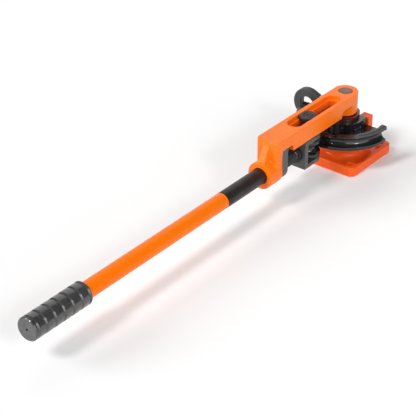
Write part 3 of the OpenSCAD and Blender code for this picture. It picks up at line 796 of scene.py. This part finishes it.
@dataclass
class BaseCasting(SubAssembly):
    """The square base plate with its pedestal, lug and hook boss, and the post that stands in it."""

    half: float = 70.0
    height: float = 20.0
    corner: float = 12.0
    plate_edge: float = 2.5
    rim: float = 9.0
    pocket: float = 14.0
    pocket_corner: float = 5.0
    pocket_ease: float = 3.0
    pocket_room: float = 30.0
    bolt: float = 54.0
    boss_r: float = 11.0
    boss_edge: float = 1.5
    boss_fillet: float = 2.5
    hole_r: float = 5.5
    hole_ease: float = 1.2
    pedestal_r: float = 40.0
    pedestal_fillet: float = 11.0
    seat: float = 59.5
    lug_low: Triple = (20.3, -43.75, 0.0)
    lug_high: Triple = (35.8, -23.25, 88.5)
    lug_corner: float = 1.2
    lug_fillet: float = 4.0
    stud: Pair = (10.5, 56.0)
    stud_boss_r: float = 12.0
    stud_fillet: float = 6.0
    cup_r: float = 23.28
    cup_low: float = -20.0
    cup_top: float = 14.0
    post_r: float = 14.0
    post_low: float = 0.5
    post_top: float = 142.2
    shank_r: float = 12.0
    shank_top: float = 29.0
    pitch: float = 1.15

    def shape(self, p: np.ndarray) -> np.ndarray:
        """Plate less pocket, joined with bosses, pedestal, lug and hook boss, less the holes.

        Args:
            p: Points in millimetres.

        Returns:
            The signed distance at each point.
        """
        x, y, z = p[..., 0], p[..., 1], p[..., 2]
        outline = flat_box(x, y, (-self.half, -self.half), (self.half, self.half), self.corner)
        solid = extruded(outline, z, 0.0, self.height, self.plate_edge)
        inner = self.half - self.rim
        hollow = flat_box(x, y, (-inner, -inner), (inner, inner), self.pocket_corner)
        hollow = extruded(hollow, z, self.pocket, self.height + self.pocket_room, 1.0)
        solid = cut(solid, hollow, self.pocket_ease)
        corner = np.hypot(np.abs(x) - self.bolt, np.abs(y) - self.bolt)
        boss = extruded(corner - self.boss_r, z, 0.0, self.height, self.boss_edge)
        solid = joined(solid, boss, self.boss_fillet)
        turn = np.hypot(x, y)
        pedestal = extruded(turn - self.pedestal_r, z, 0.0, self.seat, self.boss_edge)
        solid = joined(solid, pedestal, self.pedestal_fillet)
        stud_turn = np.hypot(x - self.stud[0], y - self.stud[1])
        stud_boss = extruded(stud_turn - self.stud_boss_r, z, 0.0, self.seat, self.boss_edge)
        solid = joined(solid, stud_boss, self.stud_fillet)
        lug = flat_box(x, y, self.lug_low[:2], self.lug_high[:2], self.lug_corner)
        lug = extruded(lug, z, self.lug_low[2], self.lug_high[2], 1.0)
        solid = joined(solid, lug, self.lug_fillet)
        solid = cut(solid, corner - self.hole_r, self.hole_ease)
        return cut(solid, extruded(turn - self.cup_r, z, self.cup_low, self.cup_top, 0.5), 1.0)

    def build(self) -> None:
        """Make and dress the base, the post and what clamps it."""
        rim = self.half
        casting = Casting(self.shape, (-rim, -rim, 0.0), (rim, rim, self.lug_high[2]), self.pitch)
        points, quads, normals = casting.mesh()
        points[:, 2] = np.maximum(points[:, 2], 0.0)
        self.settle(put_mesh("base_casting", points, quads, normals), Body.BASE, Slot.BASE_PAINT, "base")
        profile = rounded([(self.post_low, 0.0), (self.post_low, self.shank_r),
                           (self.shank_top, self.shank_r), (self.shank_top, self.post_r),
                           (self.post_top, self.post_r), (self.post_top, 0.0)], [0, 1.0, 0.3, 0.5, 1.0, 0])
        self.settle(put_mesh("post_pin", *turned(profile, Axis.Z)), Body.BASE, Slot.POST_STEEL, "pivot_post")
        self.ease("post_nut", "post_clamp_nut", 0.8, Body.BASE, Slot.BRIGHT_STEEL)
        self.dress_node(Slot.BRIGHT_STEEL, "post_washer")


@dataclass
class DieStack(SubAssembly):
    """The half-round die with its bar and heel, the toothed hub, the collar and the thrust washer."""

    radius: float = 96.0
    bottom: float = 59.5
    top: float = 88.5
    floor: float = 72.0
    inner: float = 80.0
    groove_r: float = 9.8
    step_r: float = 88.0
    step: float = 0.8
    tail: float = 3.0
    bar: Pair = (2.2, 12.5)
    bar_t: float = 4.0
    bar_cut: Pair = (8.0, 4.5)
    back: float = 20.0
    heel: Pair = (-68.0, 38.0)
    end_ease: float = 0.9
    collar_r: float = 30.0
    collar_low: float = 88.5
    collar_high: float = 97.5
    bore_r: float = 14.05

    def section(self) -> np.ndarray:
        """Closed outline of the die from its axis: radius and height, with the rim's groove and step."""
        turn = np.linspace(-0.5 * np.pi, 0.5 * np.pi, 33)
        groove = np.stack([self.radius - self.groove_r * np.cos(turn),
                           AXIS_Z + self.groove_r * np.sin(turn)], -1)
        lower = rounded([(0.0, self.bottom), (self.radius, self.bottom), tuple(groove[0]), tuple(groove[1])],
                        [0, 1.5, 0.8, 0])
        low_top = self.top - self.step
        upper = rounded([tuple(groove[-2]), tuple(groove[-1]), (self.radius, low_top),
                         (self.step_r, low_top), (self.step_r, self.top), (self.inner, self.top),
                         (self.inner, self.floor), (0.0, self.floor)], [0, 0.6, 0.7, 0.3, 0.5, 2.0, 3.5, 0])
        return np.concatenate([lower[:-1], groove[2:-2], upper[1:]])

    def sweep(self) -> Surface:
        """The section carried half round the pivot and on along X: (shift + r cos a, r sin a, z).

        Returns:
            Points and quads, open at both ends.
        """
        section = self.section()
        arc = np.radians(np.linspace(90.0, 270.0, 145))
        angle = np.concatenate([[arc[0]], arc, [arc[-1], arc[-1]]])
        shift = np.concatenate([[self.end_ease], np.zeros(len(arc)), [self.tail - self.end_ease, self.tail]])
        rows = np.repeat(section[None], len(angle), axis=0)
        rows[[0, -1]] = inset(section, self.end_ease)
        x = shift[:, None] + rows[..., 0] * np.cos(angle)[:, None]
        y = rows[..., 0] * np.sin(angle)[:, None]
        return np.stack([x, y, rows[..., 1]], -1), grid_faces(len(angle), len(section), True)

    def heel_block(self) -> bpy.types.Object:
        """The floor behind the pivot: a low box with its rims eased, a hair above the die's own floor."""
        front = 0.5
        above = self.floor + 0.02

        def shape(p: np.ndarray) -> np.ndarray:
            """A box that reaches into the die."""
            plan = flat_box(p[..., 0], p[..., 1], (front, self.heel[0]), (self.back, self.heel[1]), 1.5)
            return extruded(plan, p[..., 2], self.bottom, above, 0.8)
        casting = Casting(shape, (front, self.heel[0], self.bottom), (self.back, self.heel[1], above), 0.9)
        return put_mesh("die_heel", *casting.mesh())

    def tail_bar(self) -> bpy.types.Object:
        """The bar on top of the rim: a five-sided plan with a cut corner, stepped down like the rim."""
        start, end = self.bar
        near, far = -self.radius, -self.inner
        corners = [(start, near), (end - self.bar_cut[0], near), (end, near + self.bar_cut[1]),
                   (end, far), (start, far)]

        def shape(p: np.ndarray) -> np.ndarray:
            """The outer part up to the step, and the inner part up to the top."""
            plan = flat_convex(p[..., 0], p[..., 1], corners)
            outer = extruded(plan, p[..., 2], self.top - self.bar_t, self.top - self.step, 0.5)
            raised = np.maximum(plan, -self.step_r - p[..., 1])
            return np.minimum(outer, extruded(raised, p[..., 2], self.top - self.bar_t, self.top, 0.4))
        casting = Casting(shape, (start, near, self.top - self.bar_t), (end, far, self.top), 0.4)
        return put_mesh("die_tail_bar", *casting.mesh())

    def build(self) -> None:
        """Make and dress the die, its heel and bar, the toothed hub, the collar and the washer."""
        self.settle(put_mesh("die_half_round", *self.sweep()), Body.BASE, Slot.BLACK_GLOSS, "bending_die")
        self.settle(self.heel_block(), Body.BASE, Slot.BLACK_GLOSS)
        self.settle(self.tail_bar(), Body.BASE, Slot.BLACK_GLOSS)
        self.ease("ratchet_wheel", "toothed_hub", 0.9, Body.BASE, Slot.BLACK_OXIDE, HUB_GLOSS)
        ring = tube_profile(self.collar_low, self.collar_high, self.bore_r, self.collar_r, (0.8, 0.6, 0.5))
        self.settle(put_mesh("hub_collar", *turned(ring, Axis.Z)), Body.BASE, Slot.COLLAR_PAINT, "collar")
        self.dress_node(Slot.BRIGHT_STEEL, "die_dowels")
        self.dress_node(Slot.BRONZE, "thrust_washer")


@dataclass
class TubeHook(SubAssembly):
    """The eye plate that holds the tube's end, on its stud with washer and nut."""

    stud: Pair = (10.5, 56.0)
    stud_r: float = 6.0
    stud_low: float = 20.0
    stud_top: float = 106.6
    plate: Pair = (3.5, 17.5)
    low: float = 59.8
    barrel_r: float = 10.0
    barrel_top: float = 97.8
    eye: Pair = (94.0, 81.4)
    eye_r: float = 32.0
    hole_r: float = 15.0
    slope: float = 0.42
    nut_room: float = 11.0
    box_low: Triple = (0.0, 44.0, 58.0)
    box_high: Triple = (21.0, 128.0, 116.0)
    pitch: float = 0.9

    def shape(self, p: np.ndarray) -> np.ndarray:
        """Eye disc and web joined with the barrel, less the eye's hole and the room for the nut.

        Args:
            p: Points in millimetres.

        Returns:
            The signed distance at each point.
        """
        x, y, z = p[..., 0], p[..., 1], p[..., 2]
        norm = math.hypot(1.0, self.slope)
        touch_y = self.eye[0] - self.eye_r * self.slope / norm
        touch_z = self.eye[1] + self.eye_r / norm
        edge_z = touch_z - self.slope * (touch_y - self.stud[1])
        disc = np.hypot(y - self.eye[0], z - self.eye[1])
        web = flat_convex(y, z, [(self.stud[1], self.low), (self.eye[0], self.low), self.eye,
                                 (touch_y, touch_z), (self.stud[1], edge_z)])
        plate = extruded(np.minimum(disc - self.eye_r, web), x, *self.plate, 2.2)
        turn = np.hypot(x - self.stud[0], y - self.stud[1])
        solid = joined(plate, extruded(turn - self.barrel_r, z, self.low, self.barrel_top, 1.2), 4.0)
        solid = cut(solid, disc - self.hole_r, 2.2)
        solid = cut(solid, extruded(turn - self.nut_room, z, self.barrel_top, FAR, 0.6), 1.0)
        return cut(solid, turn - self.stud_r - 0.05, 0.6)

    def build(self) -> None:
        """Make and dress the hook and the stud, washer and nut that hold it."""
        casting = Casting(self.shape, self.box_low, self.box_high, self.pitch)
        self.settle(put_mesh("eye_hook", *casting.mesh()), Body.HOOK, Slot.BLACK_SATIN, "tube_hook",
                    finish=HOOK_SATIN)
        profile = rounded([(self.stud_low, 0.0), (self.stud_low, self.stud_r), (self.stud_top, self.stud_r),
                           (self.stud_top, 0.0)], [0, 0.5, 1.2, 0])
        self.settle(put_mesh("hook_pivot", *turned(profile, Axis.Z, self.stud, 48)),
                    Body.BASE, Slot.BRIGHT_STEEL, "hook_stud")
        self.ease("hook_nut", "hook_clamp_nut", 0.5, Body.BASE, Slot.BRIGHT_STEEL)
        self.dress_node(Slot.BRIGHT_STEEL, "hook_washer")


@dataclass
class SwingArm(SubAssembly):
    """The orange arm with its eye, stepped slot, lips, leg, boss and rib, and the plate on its leg."""

    half: float = 25.0
    top: float = 142.2
    deck: float = 120.4
    eye_low: float = 99.0
    lip_low: float = 107.0
    lip_t: float = 10.0
    lip_edge: float = 1.0
    lips: Pair = (-207.0, -45.0)
    far_lip_end: float = -18.0
    leg: Pair = (-259.4, -242.0)
    corner: float = 7.0
    edge: float = 1.2
    fillet: float = 14.0
    arch: float = 9.0
    bury: float = 9.0
    plan_end: float = 60.0
    boss_x: float = -280.0
    boss_r: float = 27.0
    boss_bury: float = 2.0
    boss_fillet: float = 2.5
    rib_half: float = 7.5
    rib_back: float = -255.0
    rib_top: float = 136.2
    rib_toe: Pair = (-278.0, 101.5)
    rod_r: float = 16.05
    pin_r: float = 14.05
    slot: Pair = (-169.0, -45.0)
    rebate_r: float = 15.0
    slot_r: float = 10.5
    slot_ease: float = 1.4
    ledge: float = 133.7
    bore: Pair = (-300.0, -236.0)
    bore_ease: float = 1.2
    pitch: float = 1.1

    def shape(self, p: np.ndarray) -> np.ndarray:
        """Deck and leg as one bent bar with eye and lips, then boss and rib, less the slot and the bores.

        The bar is the space above the deck's underside or outside the leg's inner face, with a fillet
        in that corner. Eye and lips are blended into it from below, and the whole is kept inside the
        arm's plan, its top and the leg's round lower end.

        Args:
            p: Points in millimetres.

        Returns:
            The signed distance at each point.
        """
        x, y, z = p[..., 0], p[..., 1], p[..., 2]
        turn = np.hypot(x, y)
        round_rod = np.hypot(y, z - AXIS_Z)
        plan = flat_box(x, y, (self.leg[0], -self.half), (self.plan_end, self.half), self.corner)
        plan = np.where(x > 0.0, turn - self.half, plan)
        bar = joined(self.deck - z, x - self.leg[1], self.fillet)
        eye = np.maximum(turn - self.half, self.eye_low - z)
        lip = flat_box(np.abs(y), z, (self.half - self.lip_t, self.lip_low),
                       (self.half + self.bury, self.deck + self.bury), self.lip_edge)
        lip_end = np.where(y > 0.0, self.far_lip_end, self.lips[1])
        lip = extruded(lip, x, self.lips[0], lip_end, self.lip_edge)
        solid = joined(joined(bar, eye, self.arch), lip, self.arch)
        solid = cut(solid, -extruded(plan, z, -FAR, self.top, self.edge), self.edge)
        below = np.where(z > AXIS_Z, np.abs(y), round_rod) - self.half
        solid = cut(solid, -below, self.edge)
        boss = extruded(round_rod - self.boss_r, x, self.boss_x, self.leg[1] - self.boss_bury, self.edge)
        solid = joined(solid, boss, self.boss_fillet)
        rib = flat_convex(x, z, [(self.rib_back, AXIS_Z), (self.rib_back, self.rib_top),
                                 (self.leg[0], self.rib_top), self.rib_toe, (self.rib_toe[0], AXIS_Z)])
        solid = joined(solid, extruded(rib, y, -self.rib_half, self.rib_half, self.edge), self.boss_fillet)
        rebate = extruded(flat_slot(x, y, *self.slot, self.rebate_r), z, self.ledge, FAR, 0.5)
        solid = cut(solid, rebate, self.slot_ease)
        solid = cut(solid, flat_slot(x, y, *self.slot, self.slot_r), self.bore_ease)
        solid = cut(solid, turn - self.pin_r, self.bore_ease)
        return cut(solid, extruded(round_rod - self.rod_r, x, *self.bore, 0.1), self.bore_ease)

    def build(self) -> None:
        """Make and dress the arm and what is fixed to it."""
        low = (self.boss_x, -self.boss_r, AXIS_Z - self.boss_r)
        casting = Casting(self.shape, low, (self.half, self.boss_r, self.top), self.pitch)
        self.settle(put_mesh("arm_casting", *casting.mesh()), Body.ARM, Slot.ARM_PAINT, "arm")
        self.ease("nut_plate", "leg_nut_plate", 1.4, Body.ARM, Slot.BLACK_SATIN)
        self.ease("nut_plate_screws", "leg_screws", 0.5, Body.ARM, Slot.BLACK_OXIDE)
        self.ease("pawl_pin", "pawl_pivot", 0.5, Body.ARM, Slot.BLACK_OXIDE)
        self.dress_node(Slot.BRONZE, "eye_bush")


@dataclass
class Pawl(SubAssembly):
    """The pawl under the arm and the coil spring round its pin."""

    pin: Pair = (-60.0, -20.0)
    wire_r: float = 0.8
    coil_r: float = 5.3
    low: float = 86.07
    high: float = 105.9
    turns: int = 5

    def spring(self) -> Surface:
        """A round wire along a helix: wire * cos b adds to the coil's radius, wire * sin b to its height.

        Returns:
            Points and quads, open at both ends.
        """
        t = np.linspace(0.0, 1.0, self.turns * 40 + 1)[:, None]
        b = np.linspace(0.0, 2.0 * np.pi, 14, endpoint=False)[None, :]
        a = 2.0 * np.pi * self.turns * t
        r = self.coil_r + self.wire_r * np.cos(b)
        z = self.low + (self.high - self.low) * t + self.wire_r * np.sin(b)
        points = np.stack([self.pin[0] + r * np.cos(a), self.pin[1] + r * np.sin(a), z], -1)
        return points, grid_faces(*points.shape[:2], True)

    def build(self) -> None:
        """Make and dress the pawl and its spring."""
        self.ease("pawl", "pawl_strut", 0.8, Body.PAWL, Slot.BLACK_OXIDE)
        self.settle(put_mesh("pawl_coil", *self.spring()), Body.PAWL, Slot.BLACK_OXIDE, "pawl_spring")


@dataclass
class RollerYoke(SubAssembly):
    """The fork, its grooved roller, and the axle whose head rides in the arm's slot."""

    axle: Pair = (-127.5, 0.0)
    roller_r: float = 25.5
    roller_half: float = 19.0
    groove_r: float = 9.8
    bore_r: float = 11.02
    pin_r: float = 8.0
    shank_r: float = 10.45
    head_r: float = 17.5
    flat: float = 14.5
    ring_r: float = 10.6
    fork: Pair = (47.7, 105.3)
    ledge: float = 133.7
    head_top: float = 141.7

    def roller_profile(self) -> np.ndarray:
        """Closed outline of the roller: height and radius, with the tube groove in its rim."""
        turn = np.linspace(-0.5 * np.pi, 0.5 * np.pi, 29)
        groove = np.stack([AXIS_Z + self.groove_r * np.sin(turn),
                           self.roller_r - self.groove_r * np.cos(turn)], -1)
        low, high = AXIS_Z - self.roller_half, AXIS_Z + self.roller_half
        lower = rounded([(AXIS_Z, self.bore_r), (low, self.bore_r), (low, self.roller_r), tuple(groove[0]),
                         tuple(groove[1])], [0, 0.6, 4.0, 2.5, 0])
        upper = rounded([tuple(groove[-2]), tuple(groove[-1]), (high, self.roller_r), (high, self.bore_r),
                         (AXIS_Z, self.bore_r)], [0, 2.5, 4.0, 0.6, 0])
        return np.concatenate([lower[:-1], groove[2:-2], upper[1:]])

    def axle_profile(self) -> np.ndarray:
        """Outline of the axle from its foot to its head, with a ring groove and a dished centre on top."""
        top = self.head_top
        corners = [(self.fork[0], 0.0), (self.fork[0], self.pin_r), (self.fork[1], self.pin_r),
                   (self.fork[1], self.shank_r), (self.ledge, self.shank_r), (self.ledge, self.head_r),
                   (top, self.head_r), (top, 9.6), (top - 0.9, 9.0), (top - 0.9, 8.2), (top - 0.2, 7.6),
                   (top - 0.2, 3.4), (top - 1.6, 2.0), (top - 1.6, 0.0)]
        return rounded(corners, [0, 0.6, 0.2, 0.5, 0.3, 0.5, 1.6, 0.4, 0.3, 0.3, 0.4, 0.4, 0.4, 0])

    def axle_surface(self) -> Surface:
        """The axle's outline turned about Z, with the head pressed in to two flats.

        At the angle a the head's rim lies at min(head radius, flat / |sin a|), and what lies between the
        ring on its top and its rim is scaled to fit.

        Returns:
            Points and quads.
        """
        points, quads = turned(self.axle_profile(), Axis.Z)
        turn = np.maximum(np.hypot(points[:, 0], points[:, 1]), 1e-9)
        rim = np.minimum(self.head_r, self.flat * turn / np.maximum(np.abs(points[:, 1]), 1e-9))
        lost = 1.0 - (rim - self.ring_r) / (self.head_r - self.ring_r)
        beyond = np.where(points[:, 2] > self.ledge - 1e-6, np.maximum(turn - self.ring_r, 0.0), 0.0)
        points[:, :2] *= (1.0 - lost * beyond / turn)[:, None]
        return points + np.array((*self.axle, 0.0)), quads

    def build(self) -> None:
        """Make and dress the yoke, the axle, the roller and their small parts."""
        self.ease("yoke", "fork_yoke", 1.3, Body.YOKE, Slot.BLACK_SATIN)
        self.settle(put_mesh("slot_axle", *self.axle_surface(), crease=30.0),
                    Body.YOKE, Slot.BLACK_OXIDE, "roller_axle")
        self.settle(put_mesh("grooved_roller", *turned(self.roller_profile(), Axis.Z, self.axle)),
                    Body.ROLLER, Slot.BLACK_GLOSS, "roller")
        self.dress_node(Slot.BRIGHT_STEEL, "roller_washers")
        self.dress_node(Slot.BRONZE, "roller_bush")


@dataclass
class HandleScrew(SubAssembly):
    """The adjusting screw with its collar, the handle tube and the rubber grip."""

    rod_r: float = 16.0
    root_r: float = 13.9
    lead: float = 6.0
    spigot: Pair = (-434.0, -394.0)
    spigot_r: float = 12.95
    thread: Pair = (-277.0, -178.0)
    fades: Pair = (8.0, 3.0)
    oiled_from: float = -243.0
    shoulder: float = -168.8
    neck_r: float = 8.0
    neck_end: float = -155.7
    collar: Pair = (-177.8, -168.8)
    collar_r: float = 19.0
    tube: Pair = (-900.0, -394.0)
    tube_in_r: float = 13.0
    grip: Pair = (-908.0, -772.0)
    grip_r: float = 22.5
    vent_r: float = 2.0
    grooves: tuple[float, ...] = (-777.5, -797.0, -818.5, -840.0, -861.5, -883.0, -902.0)
    groove_w: float = 6.0
    groove_d: float = 1.75
    crown: float = 0.25
    crown_reach: float = 10.0
    end_round: float = 2.5
    vent_depth: float = 8.0
    mouth_depth: float = 10.0
    fit: float = 0.05
    around: int = 64

    def on_rod(self, profile: np.ndarray, steps: int = 96) -> Surface:
        """A profile turned about the rod's axis."""
        return turned(profile, Axis.X, (0.0, AXIS_Z), steps)

    def screw_surface(self) -> Surface:
        """The screw as one sheet over length and angle: the thread lowers the radius between its crests.

        The radius is the rod's, less the thread's depth times a flattened wave of x / lead - angle / turn,
        which fades out towards the thread's ends.

        Returns:
            Points and quads.
        """
        start, end = self.thread
        x = np.concatenate([np.linspace(self.spigot[1], start, 24)[:-1], np.linspace(start, end, 489),
                            np.linspace(end, self.shoulder, 8)[1:]])[:, None]
        angle = np.linspace(0.0, 2.0 * np.pi, self.around, endpoint=False)[None, :]
        wave = 0.5 - 0.5 * np.cos(2.0 * np.pi * (x / self.lead) - angle)
        valley = np.clip(1.7 * wave - 0.35, 0.0, 1.0)
        fade = np.clip((x - start) / self.fades[0], 0.0, 1.0) * np.clip((end - x) / self.fades[1], 0.0, 1.0)
        r = self.rod_r - (self.rod_r - self.root_r) * valley * fade
        body = np.stack([np.repeat(x, angle.size, 1), r * np.cos(angle), AXIS_Z + r * np.sin(angle)], -1)
        front = rounded([(self.spigot[0], 0.0), (self.spigot[0], self.spigot_r),
                         (self.spigot[1], self.spigot_r), (self.spigot[1], self.rod_r)], [0, 1.0, 0.2, 0])
        back = rounded([(self.shoulder, self.rod_r), (self.shoulder, self.neck_r),
                        (self.neck_end, self.neck_r), (self.neck_end, 0.0)], [0, 0.2, 0.8, 0])
        first = self.on_rod(front, self.around)[0]
        last = self.on_rod(back, self.around)[0]
        points = np.concatenate([first, body.reshape(-1, 3), last])
        return points, grid_faces(len(points) // self.around, self.around, True)

    def grip_profile(self) -> np.ndarray:
        """Outline of the grip: rings that bulge slightly between V grooves, a closed end and the bore.

        Returns:
            A closed outline of place along X and radius.
        """
        low, high = self.grip
        x = np.linspace(low + self.end_round, high - self.end_round, 660)
        marks = np.array(self.grooves)[:, None]
        near = np.min(np.abs(x[None, :] - marks), axis=0)
        dip = self.groove_d * np.clip(1.0 - near / (0.5 * self.groove_w), 0.0, 1.0)
        crown = self.crown * np.clip(near / self.crown_reach, 0.0, 1.0)
        outer = np.stack([x, self.grip_r - self.crown - dip + crown], -1)
        inside = low + self.vent_depth
        bore = self.rod_r + self.fit
        end = rounded([(inside, 0.0), (inside, self.vent_r), (low, self.vent_r), (low, self.grip_r - 1.8),
                       (low + 1.9, self.grip_r - 0.3), tuple(outer[0])], [0, 0.2, 0.8, 1.2, 1.2, 0])
        mouth = rounded([tuple(outer[-1]), (high - 1.4, self.grip_r - 0.1), (high, self.grip_r - 1.6),
                         (high, bore), (high - self.mouth_depth, bore)], [0, 0.8, 1.0, 0.8, 0])
        return np.concatenate([end[:-1], outer, mouth[1:]])

    def build(self) -> None:
        """Make and dress the screw, its collar and clip, the tube and the grip."""
        screw = put_mesh("feed_screw", *self.screw_surface(), crease=50.0)
        self.settle(screw, Body.HANDLE, Slot.BLACK_OXIDE, "screw")
        self.dress_part(screw, THREAD_OIL, self.oiled_from, self.thread[1])
        ring = tube_profile(*self.collar, self.rod_r, self.collar_r, (1.2, 1.2, 0.3))
        self.settle(put_mesh("thrust_ring", *self.on_rod(ring)),
                    Body.HANDLE, Slot.BLACK_OXIDE, "screw_collar")
        wall = tube_profile(*self.tube, self.tube_in_r, self.rod_r, (0.8, 0.8, 0.5))
        self.settle(put_mesh("lever_tube", *self.on_rod(wall)), Body.HANDLE, Slot.TUBE_PAINT, "handle_tube")
        grip = put_mesh("ribbed_grip", *self.on_rod(self.grip_profile()), crease=35.0)
        self.settle(grip, Body.HANDLE, Slot.RUBBER, "grip")
        self.dress_part(grip, GRIP_END, self.grip[0] - 1.0, self.grip[0] + self.fit)
        self.dress_node(Slot.BRIGHT_STEEL, "collar_pin", "swivel_clip")


@dataclass
class Studio:
    """The pale floor, the soft lights and the camera at the photograph's place."""

    eye: Triple = (-2.4569, -1.5909, 1.6369)
    right: Triple = (0.6181, -0.7861, -0.0010)
    up: Triple = (0.4074, 0.3192, 0.8557)
    back: Triple = (-0.6724, -0.5292, 0.5175)
    lens: float = 144.54
    sensor: float = 36.0
    floor_half: float = 9000.0
    floor_z: float = -0.05
    floor_lift: float = 0.08
    sky: float = 0.16

    def floor(self) -> None:
        """A wide flat floor that camera, glossy and transmission rays see as white with the shadow on it."""
        span = np.linspace(-self.floor_half, self.floor_half, 13)
        x, y = np.meshgrid(span, span)
        points = np.stack([x, y, np.full_like(x, self.floor_z)], -1)
        normals = np.tile((0.0, 0.0, 1.0), (x.size, 1))
        piece = put_mesh("floor", points, grid_faces(len(span), len(span), False), normals)
        sheet = NodeSheet("floor_white")
        sheet.tint(sheet.noise(1.5, 2.0), (0.88, 0.88, 0.88), (0.86, 0.86, 0.86))
        sheet.set(roughness=0.9, specular_ior_level=0.1)
        path = sheet.nodes.new("ShaderNodeLightPath")
        total = path.outputs["Is Camera Ray"]
        for ray in ("Is Glossy Ray", "Is Transmission Ray"):
            add = sheet.nodes.new("ShaderNodeMath")
            add.operation = "ADD"
            add.use_clamp = True
            sheet.links.new(total, add.inputs[0])
            sheet.links.new(path.outputs[ray], add.inputs[1])
            total = add.outputs["Value"]
        sheet.feed("Emission Strength", sheet.ranged(total, 0.0, self.floor_lift, (0.0, 1.0)))
        sheet.set(emission_color=(1.0, 1.0, 1.0, 1.0))
        piece.data.materials.append(sheet.material)

    def world(self) -> None:
        """Even white light from all round."""
        world = bpy.data.worlds.new("studio")
        world.use_nodes = True
        ground = world.node_tree.nodes["Background"]
        ground.inputs["Color"].default_value = (1.0, 1.0, 1.0, 1.0)
        ground.inputs["Strength"].default_value = self.sky
        bpy.context.scene.world = world

    def lamp(self, name: str, toward: Triple, strength: float, softness: float) -> None:
        """A soft far light that falls evenly over the whole floor.

        Args:
            name: Name of the light.
            toward: Direction from the object to the light.
            strength: Power on a square metre that faces it.
            softness: Angle that the light fills in the sky, in degrees.
        """
        data = bpy.data.lights.new(name, "SUN")
        data.energy = strength
        data.angle = math.radians(softness)
        light = bpy.data.objects.new(name, data)
        aim = np.asarray(toward) / np.linalg.norm(toward)
        side = np.cross((0.0, 1.0, 0.0), aim)
        side = side / np.linalg.norm(side)
        turn = np.eye(4)
        turn[:3, 0], turn[:3, 1], turn[:3, 2], turn[:3, 3] = side, np.cross(aim, side), aim, 2.0 * aim
        light.matrix_world = Matrix(turn.tolist())
        bpy.context.scene.collection.objects.link(light)

    def camera(self) -> None:
        """The camera, whose axes are the columns of its matrix."""
        data = bpy.data.cameras.new("camera")
        data.lens = self.lens
        data.sensor_width = self.sensor
        data.clip_end = 100.0
        camera = bpy.data.objects.new("camera", data)
        matrix = np.eye(4)
        matrix[:3, 0], matrix[:3, 1], matrix[:3, 2], matrix[:3, 3] = self.right, self.up, self.back, self.eye
        camera.matrix_world = Matrix(matrix.tolist())
        bpy.context.scene.collection.objects.link(camera)
        bpy.context.scene.camera = camera

    def build(self) -> None:
        """Set up floor, world, lights, camera and the plain view transform."""
        self.floor()
        self.world()
        self.lamp("key_light", (-0.67, 0.12, 0.735), 1.5, 13.0)
        self.lamp("low_panel", (-0.60, 0.64, 0.48), 1.6, 30.0)
        self.lamp("front_fill", (-0.36, -0.90, 0.25), 1.6, 60.0)
        self.lamp("front_spot", (-0.31, -0.78, 0.54), 0.5, 8.0)
        self.lamp("back_glow", (0.67, 0.53, 0.52), 0.62, 60.0)
        self.camera()
        bpy.context.scene.view_settings.view_transform = "Standard"


def main() -> None:
    """Build the sub-assemblies in order, then the studio."""
    logging.basicConfig(level=logging.INFO, format="%(name)s: %(message)s")
    book = FinishBook()
    for part in (BaseCasting(book), DieStack(book), TubeHook(book), SwingArm(book), Pawl(book),
                 RollerYoke(book), HandleScrew(book), Studio()):
        part.build()


if __name__ == "__main__":
    main()
